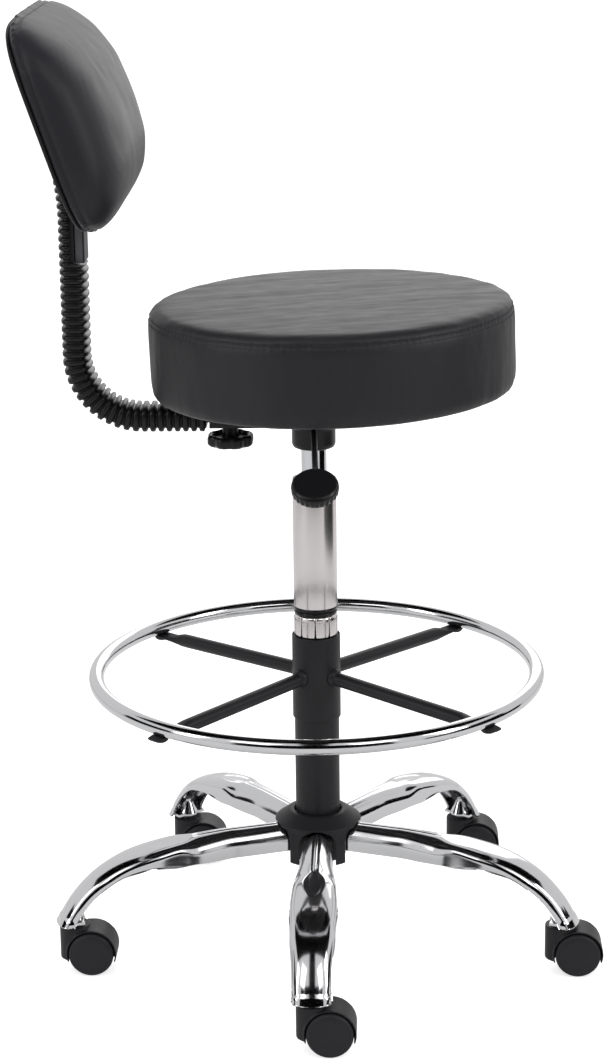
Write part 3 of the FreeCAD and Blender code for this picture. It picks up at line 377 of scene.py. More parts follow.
def make_stage():
    """A white room, a floor, dark boards and six soft lamps."""
    world = bpy.data.worlds.new("studio")
    bpy.context.scene.world = world
    world.use_nodes = True
    world.node_tree.nodes["Background"].inputs[0].default_value = (1, 1, 1, 1)
    world.node_tree.nodes["Background"].inputs[1].default_value = 0.78
    bpy.context.scene.view_settings.view_transform = "Standard"

    # what the bright metal mirrors is a greyer floor than the one that is seen
    floors = []
    for name, colour, shade, glow, level in (("pale_floor", "#e6e6e6", 0.0, 0.62, -0.0004),
                                             ("grey_floor", "#bebebe", 0.02, 0.20, -0.002)):
        material = surface(name, colour, 0.9, grain=0.02, grain_size=3.0, shade=shade, specular=0.1)
        shader = next(node for node in material.node_tree.nodes if node.type == "BSDF_PRINCIPLED")
        shader.inputs["Emission Color"].default_value = (1, 1, 1, 1)
        shader.inputs["Emission Strength"].default_value = glow
        floors.append(stage_plane("floor" if name == "pale_floor" else "mirrored_floor", (0, 0, level),
                                  (30, 0, 0), (0, 30, 0), material))
    seen, mirrored = floors
    seen.visible_glossy = seen.visible_diffuse = seen.visible_shadow = False
    mirrored.visible_camera = False
    # dark boards that only mirror-like surfaces see: they give the chrome its dark bands
    black = surface("black_board", "#050505", 1.0, grain=0.01, grain_size=5.0, specular=0.0)
    boards = [stage_plane("board_camera", (-5.0, 0.0, 2.0), (0, 4.0, 0), (0, 0, 2.0), black),
              stage_plane("board_middle", (-2.9, 0.0, 3.2), (0, 0.40, 0), (1.4, 0, 1.0), black),
              stage_plane("board_right", (-0.3, -4.4, 0.8), (1.3, 0, 0), (0, 0, 0.8), black),
              stage_plane("board_left", (-0.3, 4.4, 0.8), (1.3, 0, 0), (0, 0, 0.8), black),
              stage_plane("board_low_right", (-0.3, -1.5, 0.2), (0.9, 0, 0), (0, 0, 0.2), black),
              stage_plane("board_top", (0.3, 0.0, 3.7), (1.8, 0, 0), (0, 4.5, 0), black)]
    for board in boards:
        board.visible_camera = False
        board.visible_diffuse = False
        board.visible_shadow = False
        board.visible_transmission = False

    make_light("overhead", (0.6, 0.2, 2.9), (0.1, 0.0, 0.5), (1.6, 2.2), 22).visible_glossy = False
    make_light("near_left", (-2.4, 1.5, 2.7), (0, 0, 0.5), (1.2, 1.4), 9)
    make_light("near_right", (-2.4, -1.5, 2.7), (0, 0, 0.5), (1.2, 1.4), 11)
    make_light("front_side", (-1.0, -2.8, 1.8), (0, 0, 0.6), (0.8, 1.8), 22)
    make_light("rear_side", (-1.4, 2.8, 1.7), (0, 0, 0.6), (0.7, 1.6), 15)
    make_light("far", (2.8, -0.4, 1.5), (0, 0, 0.7), (2.0, 1.8), 12)


# ---------------------------------------------------------------- base

# distances from the column's middle: the leg's root, where it starts to bend down, its shoulder, its end
LEG_ROOT, LEG_BEND, LEG_SHOULDER, LEG_REACH = 0.036, 0.100, 0.213, 0.3035
# heights of the leg's top at its root and of its lowest edge, and the sheet's thickness
LEG_TOP, LEG_TIP, LEG_SHEET = 0.146, 0.0575, 0.0016
# slopes of the top line at the root, the shoulder and the end
LEG_SLOPES = [math.radians(degrees) for degrees in (1.0, 12.7, 68.0)]
# (distance, value) pairs: half width, depth of the walls, height of the arched top, and how full the arch is
LEG_HALF_WIDTH = [(0.036, 0.0165), (0.10, 0.0185), (0.16, 0.0235), (0.20, 0.0252), (0.25, 0.0232),
                  (0.285, 0.0205), (0.304, 0.0198)]
LEG_DEPTH = [(0.036, 0.0290), (0.12, 0.0285), (0.165, 0.0255), (0.213, 0.0162), (0.25, 0.0132),
             (0.304, 0.0130)]
LEG_CROWN = [(0.036, 0.0175), (0.145, 0.0170), (0.178, 0.0120), (0.22, 0.0115), (0.27, 0.0120),
             (0.304, 0.0115)]
LEG_FULLNESS = [(0.036, 1.10), (0.142, 1.08), (0.170, 0.68), (0.195, 0.72), (0.25, 0.92), (0.304, 0.84)]


def leg_line(reach):
    """Height and slope of a leg's top line at a distance from the column."""
    z, slope = LEG_TOP, LEG_SLOPES[0]
    for start, stop, end_slope in ((LEG_BEND, LEG_SHOULDER, LEG_SLOPES[1]),
                                   (LEG_SHOULDER, LEG_REACH + 0.0005, LEG_SLOPES[2])):
        if reach <= start:
            break
        radius = (stop - start) / (math.sin(end_slope) - math.sin(slope))
        here = math.asin(math.sin(slope) + (min(reach, stop) - start) / radius)
        z -= radius * (math.cos(slope) - math.cos(here))
        slope = here
    return z, slope


def between(points, value):
    """Smooth interpolation through a short list of (place, value) pairs."""
    if value <= points[0][0]:
        return points[0][1]
    for (a, va), (b, vb) in zip(points, points[1:]):
        if value <= b:
            return va + (vb - va) * blend_in(a, b, value)
    return points[-1][1]


def leg_dent(reach, across):
    """How far the pressed detail of a leg's top lies below its plain arch, in metres."""
    side = abs(across)
    groove = math.exp(-((side - 0.0021) / 0.0011) ** 2)
    fade = blend_in(0.045, 0.052, reach) * (1 - blend_in(0.138, 0.150, reach))
    dent = 0.0009 * groove * fade
    # a shallow dish past the groove, with a soft raised edge round it
    along = (reach - 0.148) / 0.050
    if 0 < along < 1:
        half = 0.0135 * math.sin(math.pi * along ** 0.8) ** 0.6
        if half > 0.001:
            dent += 0.0008 * (1 - blend_in(half * 0.45, half, side)) * math.sin(math.pi * along) ** 0.5
    return dent


def leg_section(reach):
    """One cross-section of a leg: outer skin from one lower edge to the other, then the inner skin back."""
    z, slope = leg_line(reach)
    half, depth = between(LEG_HALF_WIDTH, reach), between(LEG_DEPTH, reach)
    crown, power = between(LEG_CROWN, reach), between(LEG_FULLNESS, reach)
    normal = Vector((math.sin(slope), 0, math.cos(slope)))
    flare = 0.0009 * blend_in(LEG_REACH - 0.0060, LEG_REACH - 0.0042, reach)
    hem = 0.0012 * blend_in(0.15, 0.22, reach)
    outer = []
    walls = (1.0, 0.93, 0.84, 0.6, 0.35, 0.15)
    for t in walls:
        out = half + hem * blend_in(0.80, 0.95, t) + flare
        outer.append((-out, crown + (depth - crown) * t))
    for k in range(1, 64):
        angle = math.pi * k / 64
        c, sine = math.cos(angle), math.sin(angle)
        y = -math.copysign(abs(c) ** power, c) * (half + flare)
        outer.append((y, (1 - sine ** power) * crown - flare + leg_dent(reach, y)))
    outer += [(-y, down) for y, down in reversed(outer[:len(walls)])]
    shrink = (half - LEG_SHEET) / half
    inner = [(y * shrink, min(down + LEG_SHEET, max(down, depth - 0.0001))) for y, down in outer]
    base = Vector((reach, 0, z))
    ring = [base + Vector((0, y, 0)) - normal * down for y, down in outer + inner[::-1]]
    return [Vector((p.x, p.y, max(p.z, LEG_TIP))) for p in ring]


def leg_mesh():
    """One pressed leg along +X as a thin closed sheet, with its sections closest past the shoulder."""
    dish, nose = 0.128, 0.206
    reaches = [LEG_ROOT + (dish - LEG_ROOT) * k / 34 for k in range(34)]
    reaches += [dish + (nose - dish) * k / 50 for k in range(50)]
    reaches += [nose + (LEG_REACH - nose) * math.sin(math.pi / 2 * k / 60) for k in range(61)]
    return skin([leg_section(reach) for reach in reaches])


def make_legs():
    """The five legs, each turned to its caster's swivel."""
    points, faces = leg_mesh()
    for number in range(1, 6):
        swivel = joint_at(f"caster_swivel_{number}")
        spin = Matrix.Rotation(math.atan2(swivel.y, swivel.x), 4, "Z")
        piece(f"pressed_leg_{number}", [spin @ p for p in points], faces, CHROME, "base",
              [f"leg_{number}"])


def make_hub():
    """The hub's soft-edged cover, and the metal parts of the base that stay as they are."""
    cover = softened_copy("hub_cover", "hub_cover_soft", 0.0011, 4, HUB)
    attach(cover, "base")
    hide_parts("hub_cover")
    finish_node("hub_boss", POWDER)
    finish_node("stem_sockets", CHROME, 0.0006)
    finish_node("caster_stems", STEEL)


def make_casters():
    """Five hoods from one softened copy, each with its axle and two rollers."""
    first = joint_at("caster_swivel_1")
    hood = softened_copy("hood_1", "hood_soft_1", 0.0009, 5, NYLON)
    for number in range(1, 6):
        move = joint_at(f"caster_swivel_{number}") - first
        thing = hood
        if number > 1:
            mesh = hood.data.copy()
            mesh.transform(Matrix.Translation(move))
            thing = bpy.data.objects.new(f"hood_soft_{number}", mesh)
            bpy.context.collection.objects.link(thing)
        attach(thing, f"caster_{number}")
        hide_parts(f"hood_{number}")
        finish_node(f"axle_{number}", STEEL)
        for side in ("left", "right"):
            make_wheel(number, side)


def make_wheel(number, side):
    """One roller, turned: a dished inner face, a rounded tread and a fine groove round its outer edge."""
    node = f"wheel_{side}_{number}"
    low, high = corners(node)
    centre, width, radius = (low + high) / 2, high.x - low.x, (high.z - low.z) / 2
    profile = soften([
        (0.0, 0.0), (radius * 0.52, 0.0), (radius * 0.56, 0.0016), (radius * 0.84, 0.0016),
        (radius * 0.88, 0.0),
        (radius - 0.0010, 0.0), (radius, 0.0012), (radius, width - 0.0042), (radius - 0.0012, width - 0.0022),
        (radius - 0.0030, width - 0.0012), (radius - 0.0034, width - 0.0017),
        (radius - 0.0040, width - 0.0012),
        (radius - 0.0075, width - 0.0005), (radius * 0.3, width), (0.0, width)], 0.0008, 2)
    sign = 1 if side == "left" else -1
    inner = centre.x - sign * width / 2
    matrix = Matrix.Translation((inner, centre.y, centre.z)) @ Matrix.Rotation(sign * math.pi / 2, 4, "Y")
    points, faces = turn(profile, matrix, 72)
    piece(f"roller_{side}_{number}_rim", points, faces, TYRE, f"roller_{side}_{number}",
          [node])


# ---------------------------------------------------------------- column, gas lift and foot ring

def lathe_for(node, name, profile, material, body, round_by=0.0008):
    """A piece turned about the column's axis that replaces one node."""
    points, faces = turn(soften(profile, round_by))
    return piece(name, points, faces, material, body, [node])


def make_column():
    """The black column, the bright tube above it, the two rubber bands, the collet and the parts inside."""
    low, high = corners("column_tube")
    outer = high.x
    lathe_for("column_tube", "lower_column", [
        (outer - 0.0025, low.z), (outer, low.z), (outer, high.z), (outer - 0.0025, high.z),
        (outer - 0.0025, low.z)], POWDER, "base")
    low, high = corners("upper_tube")
    outer = high.x
    lathe_for("upper_tube", "upper_column", [
        (outer - 0.0018, low.z), (outer, low.z), (outer, high.z), (outer - 0.0018, high.z),
        (outer - 0.0018, low.z)], TUBE_CHROME, "base", 0.0005)
    low, high = corners("o_rings")
    outer, half, thick = high.x, (high.z - low.z) / 2, 0.0021
    bands = []
    for level in (low.z + half * 0.48, high.z - half * 0.48):
        ring = [(outer - thick + thick * math.cos(a), level + thick * math.sin(a))
                for a in (2 * math.pi * k / 14 for k in range(14))]
        bands.append(turn(ring))
    points, faces = joined(bands)
    piece("rubber_bands", points, faces, RUBBER, "base", ["o_rings"])
    make_collet()
    finish_node("core_tube", POWDER)
    finish_node("guide_bush", GLOSS, 0.0004)
    for node in ("thrust_bearing", "rod_clip", "lift_rod", "valve_pin"):
        finish_node(node, STEEL)


def make_collet():
    """The clamp's nine bright fingers, each parted from the next by a slit that widens downwards."""
    low, high = corners("collet")
    outer, count = high.x, 9
    fingers = []
    for number in range(count):
        middle = math.pi + 2 * math.pi * (number + 0.5) / count
        rings = []
        for level in range(9):
            t = level / 8
            z = low.z + (high.z - low.z) * t
            gap = (0.0011 * (1 - t) + 0.00035 * t) / outer
            half = math.pi / count - gap
            turn_in = 0.0008 * (1 if level in (0, 8) else 0)
            arc = [middle - half + 2 * half * k / 10 for k in range(11)]
            ring = [Vector(((outer - turn_in) * math.cos(a), (outer - turn_in) * math.sin(a), z))
                    for a in arc]
            ring += [Vector(((outer - 0.0017) * math.cos(a), (outer - 0.0017) * math.sin(a), z))
                     for a in reversed(arc)]
            rings.append(ring)
        fingers.append(skin(rings))
    points, faces = joined(fingers)
    piece("collet_fingers", points, faces, TUBE_CHROME, "base", ["collet"])


def make_lift():
    """The gas lift's bright cylinder and the black collar that hides its taper under the seat."""
    low, high = corners("lift_cylinder")
    outer = high.x
    lathe_for("lift_cylinder", "gas_cylinder", [
        (0.0, low.z), (outer, low.z), (outer, high.z - 0.040), (outer - 0.0008, high.z), (0.0042, high.z),
        (0.0042, high.z - 0.010), (0.0, high.z - 0.010)], PISTON, "seat", 0.0006)
    low, high = corners("taper_collar")
    outer, foot = high.x, low.z
    lathe_for("taper_collar", "lift_collar", [
        (0.0150, foot), (0.0195, foot), (0.0226, foot + 0.0014), (0.0240, foot + 0.0050),
        (0.0240, foot + 0.0226),
        (outer, foot + 0.0232), (outer, foot + 0.0275), (0.0200, foot + 0.0275), (0.0200, high.z),
        (0.0142, high.z), (0.0142, foot + 0.0075), (0.0150, foot)], GLOSS, "seat", 0.0008)


# height of a spoke's middle at the sleeve, its radius, and half the thickness of its flattened end
SPOKE_ROOT, SPOKE_RADIUS, SPOKE_TAB = 0.320, 0.00775, 0.0016


def spoke_section(centre, direction, half_wide, half_high, power, steps=28):
    """A ring across a direction: round where power is 1, squarer where it is less."""
    side = Vector((-direction.y, direction.x, 0)).normalized()
    up = side.cross(direction).normalized() * -1
    if up.z < 0:
        up = -up
    ring = []
    for k in range(steps):
        angle = 2 * math.pi * k / steps
        c, s = math.cos(angle), math.sin(angle)
        ring.append(centre + side * math.copysign(abs(c) ** power, c) * half_wide
                    + up * math.copysign(abs(s) ** power, s) * half_high)
    return ring


def make_foot_ring():
    """The bright ring, the sliding sleeve, and four tubes from the sleeve, flattened under the ring."""
    low, high = corners("foot_ring")
    thin = (high.z - low.z) / 2
    middle, level = high.x - thin, (high.z + low.z) / 2
    rings = []
    for k in range(288):
        angle = 2 * math.pi * k / 288
        out = Vector((math.cos(angle), math.sin(angle), 0))
        rings.append([out * (middle + thin * math.cos(a)) + Vector((0, 0, level + thin * math.sin(a)))
                      for a in (2 * math.pi * j / 40 for j in range(40))])
    points, faces = skin(rings, loop=True)
    piece("ring_tube", points, faces, CHROME, "ring", ["foot_ring"])

    sleeve_low, sleeve_high = corners("ring_sleeve")
    outer = sleeve_high.x
    lathe_for("ring_sleeve", "sleeve", [
        (outer - 0.0011, sleeve_low.z), (outer - 0.0002, sleeve_low.z), (outer, sleeve_low.z + 0.001),
        (outer, sleeve_high.z - 0.0006), (outer - 0.0004, sleeve_high.z), (outer - 0.0012, sleeve_high.z),
        (outer - 0.0011, sleeve_low.z)], POWDER, "ring", 0.0004)

    root, tab = SPOKE_ROOT, level - thin - SPOKE_TAB
    start = math.radians(49.5)
    bars, screws = [], []
    for number in range(4):
        angle = start + number * math.pi / 2
        out = Vector((math.cos(angle), math.sin(angle), 0))
        rings = []
        for k in range(25):
            t = k / 24
            reach = outer - 0.004 + (middle + 0.0125 - outer + 0.004) * t
            flat = blend_in(middle - 0.040, middle - 0.014, reach)
            z = root + (tab - root) * min(1.0, reach / (middle - 0.016))
            end = 1 - 0.35 * blend_in(middle + 0.006, middle + 0.0125, reach)
            rings.append(spoke_section(out * reach + Vector((0, 0, z)), out,
                                       (SPOKE_RADIUS + 0.0022 * flat) * end, SPOKE_RADIUS - 0.00615 * flat,
                                       1 - 0.45 * flat))
        bars.append(skin(rings))
        # the uneven weld bead round the spoke's root
        bead = []
        for k in range(9):
            t = k / 8
            reach = outer - 0.0030 + 0.0080 * t
            fat = 0.0092 + 0.0018 * math.sin(math.pi * min(1, t * 1.1)) - 0.0016 * t
            ring = spoke_section(out * reach + Vector((0, 0, root)), out, fat, fat, 1.0, 36)
            centre = out * reach + Vector((0, 0, root))
            bead.append([centre + (p - centre) * (1 + 0.05 * noise.noise(p * 420)) for p in ring])
        bars.append(skin(bead))
        head = soften([(0.0, -0.0036), (0.0026, -0.0036), (0.0030, -0.0014), (0.0034, -0.0036),
                       (0.0062, -0.0036), (0.0083, -0.0014), (0.0085, 0.0), (0.0, 0.0)], 0.0008, 3)
        screws.append(turn(head, Matrix.Translation(out * middle + Vector((0, 0, tab - SPOKE_TAB))), 36))
    points, faces = joined(bars)
    piece("spoke_bars", points, faces, POWDER, "ring", ["spokes"])
    points, faces = joined(screws)
    piece("spoke_caps", points, faces, GLOSS, "ring", ["spoke_screws"])
    finish_node("ring_liner", GLOSS)


# ---------------------------------------------------------------- seat

TILT = math.radians(-1.4)                       # the seat leans back a little
SEAT_BASE = Vector((0, -0.0225, 0.6475))        # the middle of the cover's underside
SEAM_DROP = 0.0115                              # from the seat's top to its stitched seam
STITCHES = 330                                  # in each of the seam's two rows


def hold_and_swell(thing, held, pressure, limit, voxel=0.0045, frames=20):
    """Lets a closed cover swell like stuffed fabric, with some of its points held still.

    held gives how firmly a point is held, from 0 to 1, and no point moves further than limit.
    """
    remesh = thing.modifiers.new("even", "REMESH")
    remesh.mode = "VOXEL"
    remesh.voxel_size = voxel
    bake(thing)
    start = [v.co.copy() for v in thing.data.vertices]
    group = thing.vertex_groups.new(name="held")
    for number, point in enumerate(start):
        weight = held(point)
        if weight > 0:
            group.add([number], weight, "REPLACE")
    cloth = thing.modifiers.new("cloth", "CLOTH")
    cloth.settings.quality = 5
    cloth.settings.mass = 0.4
    cloth.settings.tension_stiffness = 25
    cloth.settings.compression_stiffness = 25
    cloth.settings.shear_stiffness = 8
    cloth.settings.bending_stiffness = 1.2
    cloth.settings.use_pressure = True
    cloth.settings.uniform_pressure_force = pressure
    cloth.settings.vertex_group_mass = "held"
    cloth.settings.effector_weights.gravity = 0
    cloth.collision_settings.use_collision = False
    cloth.point_cache.frame_start = 1
    cloth.point_cache.frame_end = frames
    for step in range(1, frames + 1):
        bpy.context.scene.frame_set(step)
    swollen = thing.evaluated_get(bpy.context.evaluated_depsgraph_get()).data
    ends = [v.co.copy() for v in swollen.vertices]
    thing.modifiers.clear()
    thing.vertex_groups.clear()
    for vertex, a, b in zip(thing.data.vertices, start, ends):
        step = b - a
        if step.length > limit:
            step *= limit / step.length
        vertex.co = a + step
    bpy.context.scene.frame_set(1)
    relax = thing.modifiers.new("relax", "SMOOTH")
    relax.iterations = 3
    finer = thing.modifiers.new("finer", "SUBSURF")
    finer.levels = 1
    finer.render_levels = 1
    bake(thing)
    thing.data.shade_smooth()


def fit(thing, low, high):
    """Stretches a cover a little, so that it fills the given box exactly."""
    points = [v.co for v in thing.data.vertices]
    least = [min(p[i] for p in points) for i in range(3)]
    most = [max(p[i] for p in points) for i in range(3)]
    for vertex in thing.data.vertices:
        vertex.co = [low[i] + (vertex.co[i] - least[i]) * (high[i] - low[i]) / (most[i] - least[i])
                     for i in range(3)]


def make_seat():
    """The round stuffed cover with its stitched seam, and the parts under it."""
    low, high = corners("seat_cushion")
    cad_radius = (high.x - low.x) / 2
    height = high.z - low.z - 2 * cad_radius * math.sin(-TILT)
    place = Matrix.Translation(SEAT_BASE) @ Matrix.Rotation(TILT, 4, "X")
    start_radius, start_height = cad_radius - 0.002, height - 0.002
    profile = [(0.0, 0.001), (0.168, 0.001), (start_radius - 0.011, 0.001), (start_radius - 0.003, 0.004),
               (start_radius, 0.012), (start_radius, start_height - 0.012),
               (start_radius - 0.002, start_height - 0.006), (start_radius - 0.008, start_height - 0.001),
               (start_radius - 0.020, start_height), (start_radius * 0.5, start_height + 0.001),
               (0.0, start_height + 0.001)]
    points, faces = turn(soften(profile, 0.006, 4), None, 160)
    pad = piece("seat_pad", points, faces, VINYL, "seat", ["seat_cushion"])
    board = cad_radius - 0.024
    seam = height - SEAM_DROP

    def held(p):
        reach = math.hypot(p.x, p.y)
        under = (1 - blend_in(0.003, 0.012, p.z)) * (1 - blend_in(board, board + 0.012, reach))
        stitched = 1.0 if abs(p.z - seam) < 0.003 and reach > start_radius - 0.012 else 0.0
        crown = blend_in(start_height - 0.012, start_height - 0.004, p.z) * 0.85
        return max(under, stitched, crown)

    hold_and_swell(pad, held, 1.0, 0.010)
    reach = cad_radius + 0.0012
    fit(pad, (-reach, -reach, 0.0), (reach, reach, height + 0.0015))
    for vertex in pad.data.vertices:
        p = vertex.co
        reach = math.hypot(p.x, p.y)
        if reach < 1e-6:
            continue
        out = Vector((p.x / reach, p.y / reach, 0))
        wall = blend_in(cad_radius - 0.020, cad_radius - 0.008, reach)
        # the seam draws the cover in, with small puckers along it
        angle = math.atan2(p.y, p.x)
        pull = (0.0012 * math.exp(-((p.z - seam) / 0.0014) ** 2)
                + 0.0009 * math.exp(-((p.z - seam) / 0.006) ** 2))
        pucker = 0.0002 * math.sin(angle * 170) * math.exp(-((p.z - seam) / 0.004) ** 2)
        p -= out * wall * (pull + pucker)
        # soft wrinkles on the top, mostly across, and fainter ones down the side
        top = blend_in(height - 0.012, height - 0.003, p.z)
        fold = noise.fractal(Vector((p.x * 34 + p.y * 8, p.y * 9, 0.3)), 0.8, 2.2, 4)
        p.z += top * 0.0006 * fold
        side = noise.fractal(Vector((math.cos(angle) * 5, math.sin(angle) * 5, p.z * 9)), 0.9, 2.0, 3)
        p += out * wall * 0.0009 * side
        # the rim of the seat hangs a little below its board
        p.z -= 0.0028 * wall * (1 - blend_in(0.012, 0.030, p.z))
        vertex.co = p
    tree = BVHTree.FromPolygons([v.co for v in pad.data.vertices],
                                [f.vertices for f in pad.data.polygons])
    stitches = []
    for row in (-1, 1):
        level = seam + row * 0.0027
        for k in range(STITCHES):
            angle = 2 * math.pi * (k + 0.5 * (row > 0)) / STITCHES
            out = Vector((math.cos(angle), math.sin(angle), 0))
            hit = tree.ray_cast(out * 0.3 + Vector((0, 0, level)), -out)
            if hit[0] is None:
                continue
            stitches.append(stitch(hit[0], hit[1], Vector((-out.y, out.x, 0)), 0.0026, 0.00042))
    pad.data.transform(place)
    points, faces = joined(stitches)
    piece("seat_stitching", [place @ p for p in points], faces, THREAD, "seat")
    finish_node("seat_board", PLY, 0.0008)
    finish_node("seat_plate", POWDER, 0.0004)
    finish_node("seat_screws", STEEL, 0.0004)
    finish_node("seat_pan", POWDER, 0.0005)


def stitch(at, normal, along, length, thick):
    """One thread stitch: a small spindle lying on the cover."""
    normal = normal.normalized()
    along = (along - normal * along.dot(normal)).normalized()
    side = normal.cross(along)
    rings = []
    for t, fat in ((-0.5, 0.35), (-0.36, 0.9), (0.0, 1.0), (0.36, 0.9), (0.5, 0.35)):
        centre = at + along * length * t + normal * thick * (0.55 - 1.6 * t * t)
        rings.append([centre + (side * math.cos(a) + normal * math.sin(a)) * thick * fat
                      for a in (2 * math.pi * k / 6 for k in range(6))])
    return skin(rings)


# ---------------------------------------------------------------- lever and knob

def make_controls():
    """The height lever's round paddle, with a fluted rim, and the knob with eight lobes."""
    low, high = corners("lever_paddle")
    centre = (low + high) / 2
    radius, thick = (high.y - low.y) / 2, 0.015
    half = thick / 2
    profile = soften([(0.0, -half), (radius - 0.004, -half), (radius - 0.0008, -half + 0.003),
                      (radius, 0.0), (radius - 0.0004, half - 0.0035), (radius - 0.003, half - 0.0006),
                      (radius - 0.006, half - 0.0002), (radius * 0.55, half), (0.0, half + 0.0002)],
                     0.0012, 3)

    def flutes(angle, reach, z):
        rim = blend_in(radius - 0.004, radius - 0.001, reach) * (1 - blend_in(0.0, 0.004, z))
        return reach - 0.0012 * rim * (0.5 + 0.5 * math.cos(angle * 26))

    matrix = Matrix.Translation(centre) @ Matrix.Rotation(math.radians(-30), 4, "Y")
    points, faces = turn(profile, matrix, 208, flutes)
    piece("lift_paddle", points, faces, GLOSS, "lever", ["lever_paddle"])
    finish_node("lever_rod", POWDER)

    low, high = corners("depth_knob")
    centre = (low + high) / 2
    radius, foot = (high.x - low.x) / 2, low.z
    profile = soften([(0.0, 0.0), (radius - 0.003, 0.0), (radius, 0.0028), (radius, 0.0100),
                      (radius - 0.0022, 0.0128), (radius - 0.0048, 0.0130), (radius - 0.0062, 0.0095),
                      (0.0105, 0.0086), (0.0088, 0.0104), (0.0085, 0.0240), (0.0042, 0.0242),
                      (0.0042, high.z - foot), (0.0, high.z - foot)], 0.0012, 3)

    def lobes(angle, reach, z):
        rim = blend_in(0.010, radius, reach)
        return reach * (1 - 0.105 * rim * (0.5 + 0.5 * math.cos(angle * 8)) ** 1.6)

    points, faces = turn(profile, Matrix.Translation((centre.x, centre.y, foot)), 160, lobes)
    piece("star_knob", points, faces, GLOSS, "knob", ["depth_knob"])


# ---------------------------------------------------------------- back bar and bellows

# radius of the bar's bend behind the seat, radius of its backward sweep, and the angle where the cover stops
BEND, SWEEP, STOP = 0.070, 0.300, math.radians(13.0)
# how far behind the column the bar rises, and the height where its sweep starts
BAR_REAR, BAR_HIP = 0.2557, 0.830
RIB_PITCH = 0.0088
PLATE_LOW, PLATE_HIGH = 0.788, 0.835     # the smooth strip in front of the bar


def bar_station(run, front, level):
    """A point of the bar's middle line and its direction, at a distance along it."""
    straight = BAR_REAR - BEND - front
    quarter = BEND * math.pi / 2
    upright = BAR_HIP - level - BEND
    if run < straight:
        return Vector((0, front + run, level)), Vector((0, 1, 0))
    run -= straight
    if run < quarter:
        angle = run / BEND
        return (Vector((0, BAR_REAR - BEND + BEND * math.sin(angle),
                        level + BEND - BEND * math.cos(angle))),
                Vector((0, math.cos(angle), math.sin(angle))))
    run -= quarter
    if run < upright:
        return Vector((0, BAR_REAR, level + BEND + run)), Vector((0, 0, 1))
    angle = (run - upright) / SWEEP
    return (Vector((0, BAR_REAR + SWEEP * (1 - math.cos(angle)), BAR_HIP + SWEEP * math.sin(angle))),
            Vector((0, math.sin(angle), math.cos(angle))))


def make_bellows():
    """The ribbed sleeve over the bar, open in front of its upper part, and the strip in that opening."""
    low, high = corners("bellows")
    deep, wide = 0.0295, high.x - low.x
    level, front = low.z + deep / 2, low.y
    total = BAR_REAR - BEND - front + BEND * math.pi / 2 + BAR_HIP - level - BEND + SWEEP * STOP
    ribs = int(total / RIB_PITCH)
    # (place along a rib, rise from its groove to its crest)
    shape = ((0.00, 0.0), (0.10, 0.0), (0.24, 0.85), (0.34, 1.0), (0.66, 1.0), (0.76, 0.85), (0.90, 0.0))
    rings = []
    for rib in range(ribs):
        for part, rise in shape:
            run = total * (rib + part) / ribs
            centre, ahead = bar_station(run, front, level)
            up = Vector((0, -ahead.z, ahead.y))
            side = Vector((1, 0, 0))
            shrink = 0.0036 * (1 - rise)
            open_front = centre.z > PLATE_LOW - 0.001 and up.y < -0.5
            ring = []
            for k in range(44):
                angle = 2 * math.pi * k / 44
                c, s = math.cos(angle), math.sin(angle)
                x = math.copysign(abs(c) ** 0.55, c) * (wide / 2 - shrink)
                h = math.copysign(abs(s) ** 0.62, s) * (deep / 2 - shrink)
                if open_front:
                    h = min(h, -0.0012 + 0.0002 * s)
                ring.append(centre + side * x + up * h)
            rings.append(ring)
    points, faces = skin(rings)
    piece("ribbed_sleeve", points, faces, BELLOWS, "bar", ["bellows"])
    # the smooth plate in front of the bar, above the ribs
    rings = []
    for z, tight in ((PLATE_LOW, 0.0004), (PLATE_LOW + 0.0004, 0.0), (PLATE_HIGH - 0.0004, 0.0),
                     (PLATE_HIGH, 0.0004)):
        rings.append([Vector((x * (0.018 - tight), 0.24720 + y * (0.0054 - tight), z)) for x, y in
                      (back_outline(2 * math.pi * k / 48, 1.0, 1.0, 0.22) for k in range(48))])
    points, faces = skin(rings)
    piece("bar_plate", points, faces, PLATE, "bar")
    finish_node("back_bar", POWDER, 0.0005)


# ---------------------------------------------------------------- backrest

LEAN = math.radians(18.7)
BACK_HALF_WIDE, BACK_HALF_HIGH = 0.190, 0.1162
# the pad's depth at heights from its lower edge at -1 to its upper edge at 1
BACK_DEPTHS = ((-1.0, 0.030), (-0.93, 0.046), (-0.75, 0.060), (-0.45, 0.068), (-0.1, 0.070), (0.3, 0.066),
               (0.6, 0.055), (0.85, 0.038), (0.96, 0.024), (1.0, 0.014))


def back_matrix():
    """The backrest's leaning frame: local y = 0 is its rear face and z = 0 its middle."""
    top = Vector((0, BAR_REAR + SWEEP * (1 - math.cos(LEAN)), BAR_HIP + SWEEP * math.sin(LEAN)))
    along = Vector((0, math.sin(LEAN), math.cos(LEAN)))
    forward = Vector((0, -along.z, along.y))
    return Matrix.Translation(top + along * 0.014 + forward * 0.011) @ Matrix.Rotation(-LEAN, 4, "X")


def back_outline(angle, half_wide, half_high, power=0.43):
    """A point of a rectangle with well rounded corners, seen from the front."""
    c, s = math.cos(angle), math.sin(angle)
    return math.copysign(abs(c) ** power, c) * half_wide, math.copysign(abs(s) ** power, s) * half_high


def back_depth(up):
    """Front depth of the pad along its middle, at a height from -1 to 1."""
    for (a, da), (b, db) in zip(BACK_DEPTHS, BACK_DEPTHS[1:]):
        if up <= b:
            return da + (db - da) * (up - a) / (b - a)
    return BACK_DEPTHS[-1][1]


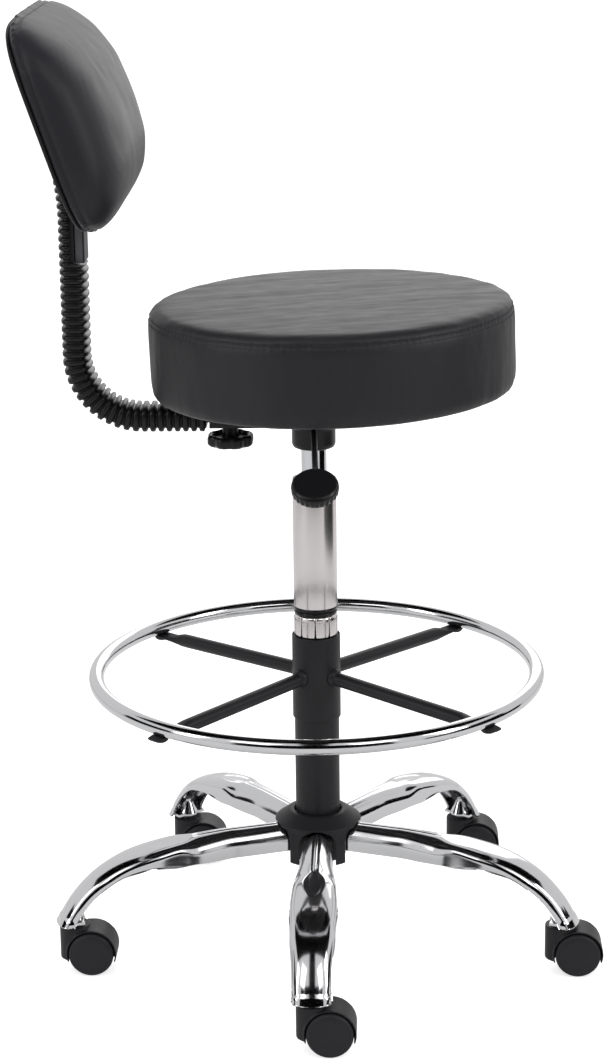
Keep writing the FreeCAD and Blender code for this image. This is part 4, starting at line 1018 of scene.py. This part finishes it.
def make_backrest():
    """The stuffed cover and the moulded tray that it is drawn into."""
    half_wide, half_high = BACK_HALF_WIDE, BACK_HALF_HIGH
    place = back_matrix()
    rings = []
    for scale, depth in ((0.0, -0.0042), (0.6, -0.0042), (0.93, -0.0042), (0.965, -0.0050), (0.985, -0.0080)):
        rings.append([Vector((x * scale, depth, z * scale)) for x, z in
                      (back_outline(2 * math.pi * k / 144, half_wide, half_high) for k in range(144))])
    for k in range(17):
        t = math.pi / 2 * k / 16
        scale, rise = math.cos(t) ** 0.48, math.sin(t) ** 0.85
        ring = []
        for j in range(144):
            x, z = back_outline(2 * math.pi * j / 144, half_wide - 0.003, half_high - 0.003)
            full = back_depth(max(-1.0, min(1.0, z * scale / half_high)))
            edge = 0.34 * back_depth(max(-1.0, min(1.0, z / half_high)))
            ring.append(Vector((x * scale, -(edge + (full - edge) * rise), z * scale)))
        rings.append(ring)
    points, faces = skin(rings)
    pad = piece("back_pad", points, faces, BACK_VINYL, "back", ["back_cushion"])

    def held(p):
        return 1 - blend_in(0.0055, 0.012, -p.y)

    hold_and_swell(pad, held, 1.8, 0.022)
    fit(pad, (-half_wide - 0.0005, -0.0715, -half_high - 0.0005),
        (half_wide + 0.0005, -0.0042, half_high + 0.0005))
    for vertex in pad.data.vertices:
        p = vertex.co
        reach = max(abs(p.x) / half_wide, abs(p.z) / half_high)
        edge = blend_in(0.80, 0.95, reach)
        deep = -p.y
        crease = 0.0026 * math.exp(-((deep - 0.014) / 0.0024) ** 2)
        pucker = (0.0009 * noise.noise(Vector((p.x * 60, deep * 25, p.z * 60)))
                  * math.exp(-((deep - 0.012) / 0.010) ** 2))
        drift = 0.0012 * noise.fractal(Vector((p.x * 7, p.y * 7, p.z * 7)), 0.9, 2.0, 3)
        out = Vector((p.x, 0, p.z)).normalized()
        p -= out * edge * (crease + pucker)
        p.y += drift * blend_in(0.02, 0.04, deep)
        vertex.co = p
    pad.data.transform(place)

    rings = []
    for scale, depth in ((0.0, -0.0012), (0.55, -0.0010), (0.86, 0.0), (0.955, 0.0), (0.975, -0.0010),
                         (0.985, -0.0035), (0.975, -0.0050), (0.93, -0.0044), (0.6, -0.0040),
                         (0.0, -0.0040)):
        rings.append([place @ Vector((x * scale, depth, z * scale)) for x, z in
                      (back_outline(2 * math.pi * k / 160, half_wide, half_high) for k in range(160))])
    points, faces = skin(rings)
    piece("back_tray", points, faces, SHELL, "back", ["back_shell"])
    finish_node("back_board", PLY, 0.0008)
    finish_node("back_bracket", POWDER, 0.0006)


# ---------------------------------------------------------------- build

make_camera()
make_stage()
make_legs()
make_hub()
make_casters()
make_column()
make_lift()
make_foot_ring()
make_seat()
make_controls()
make_bellows()
make_backrest()
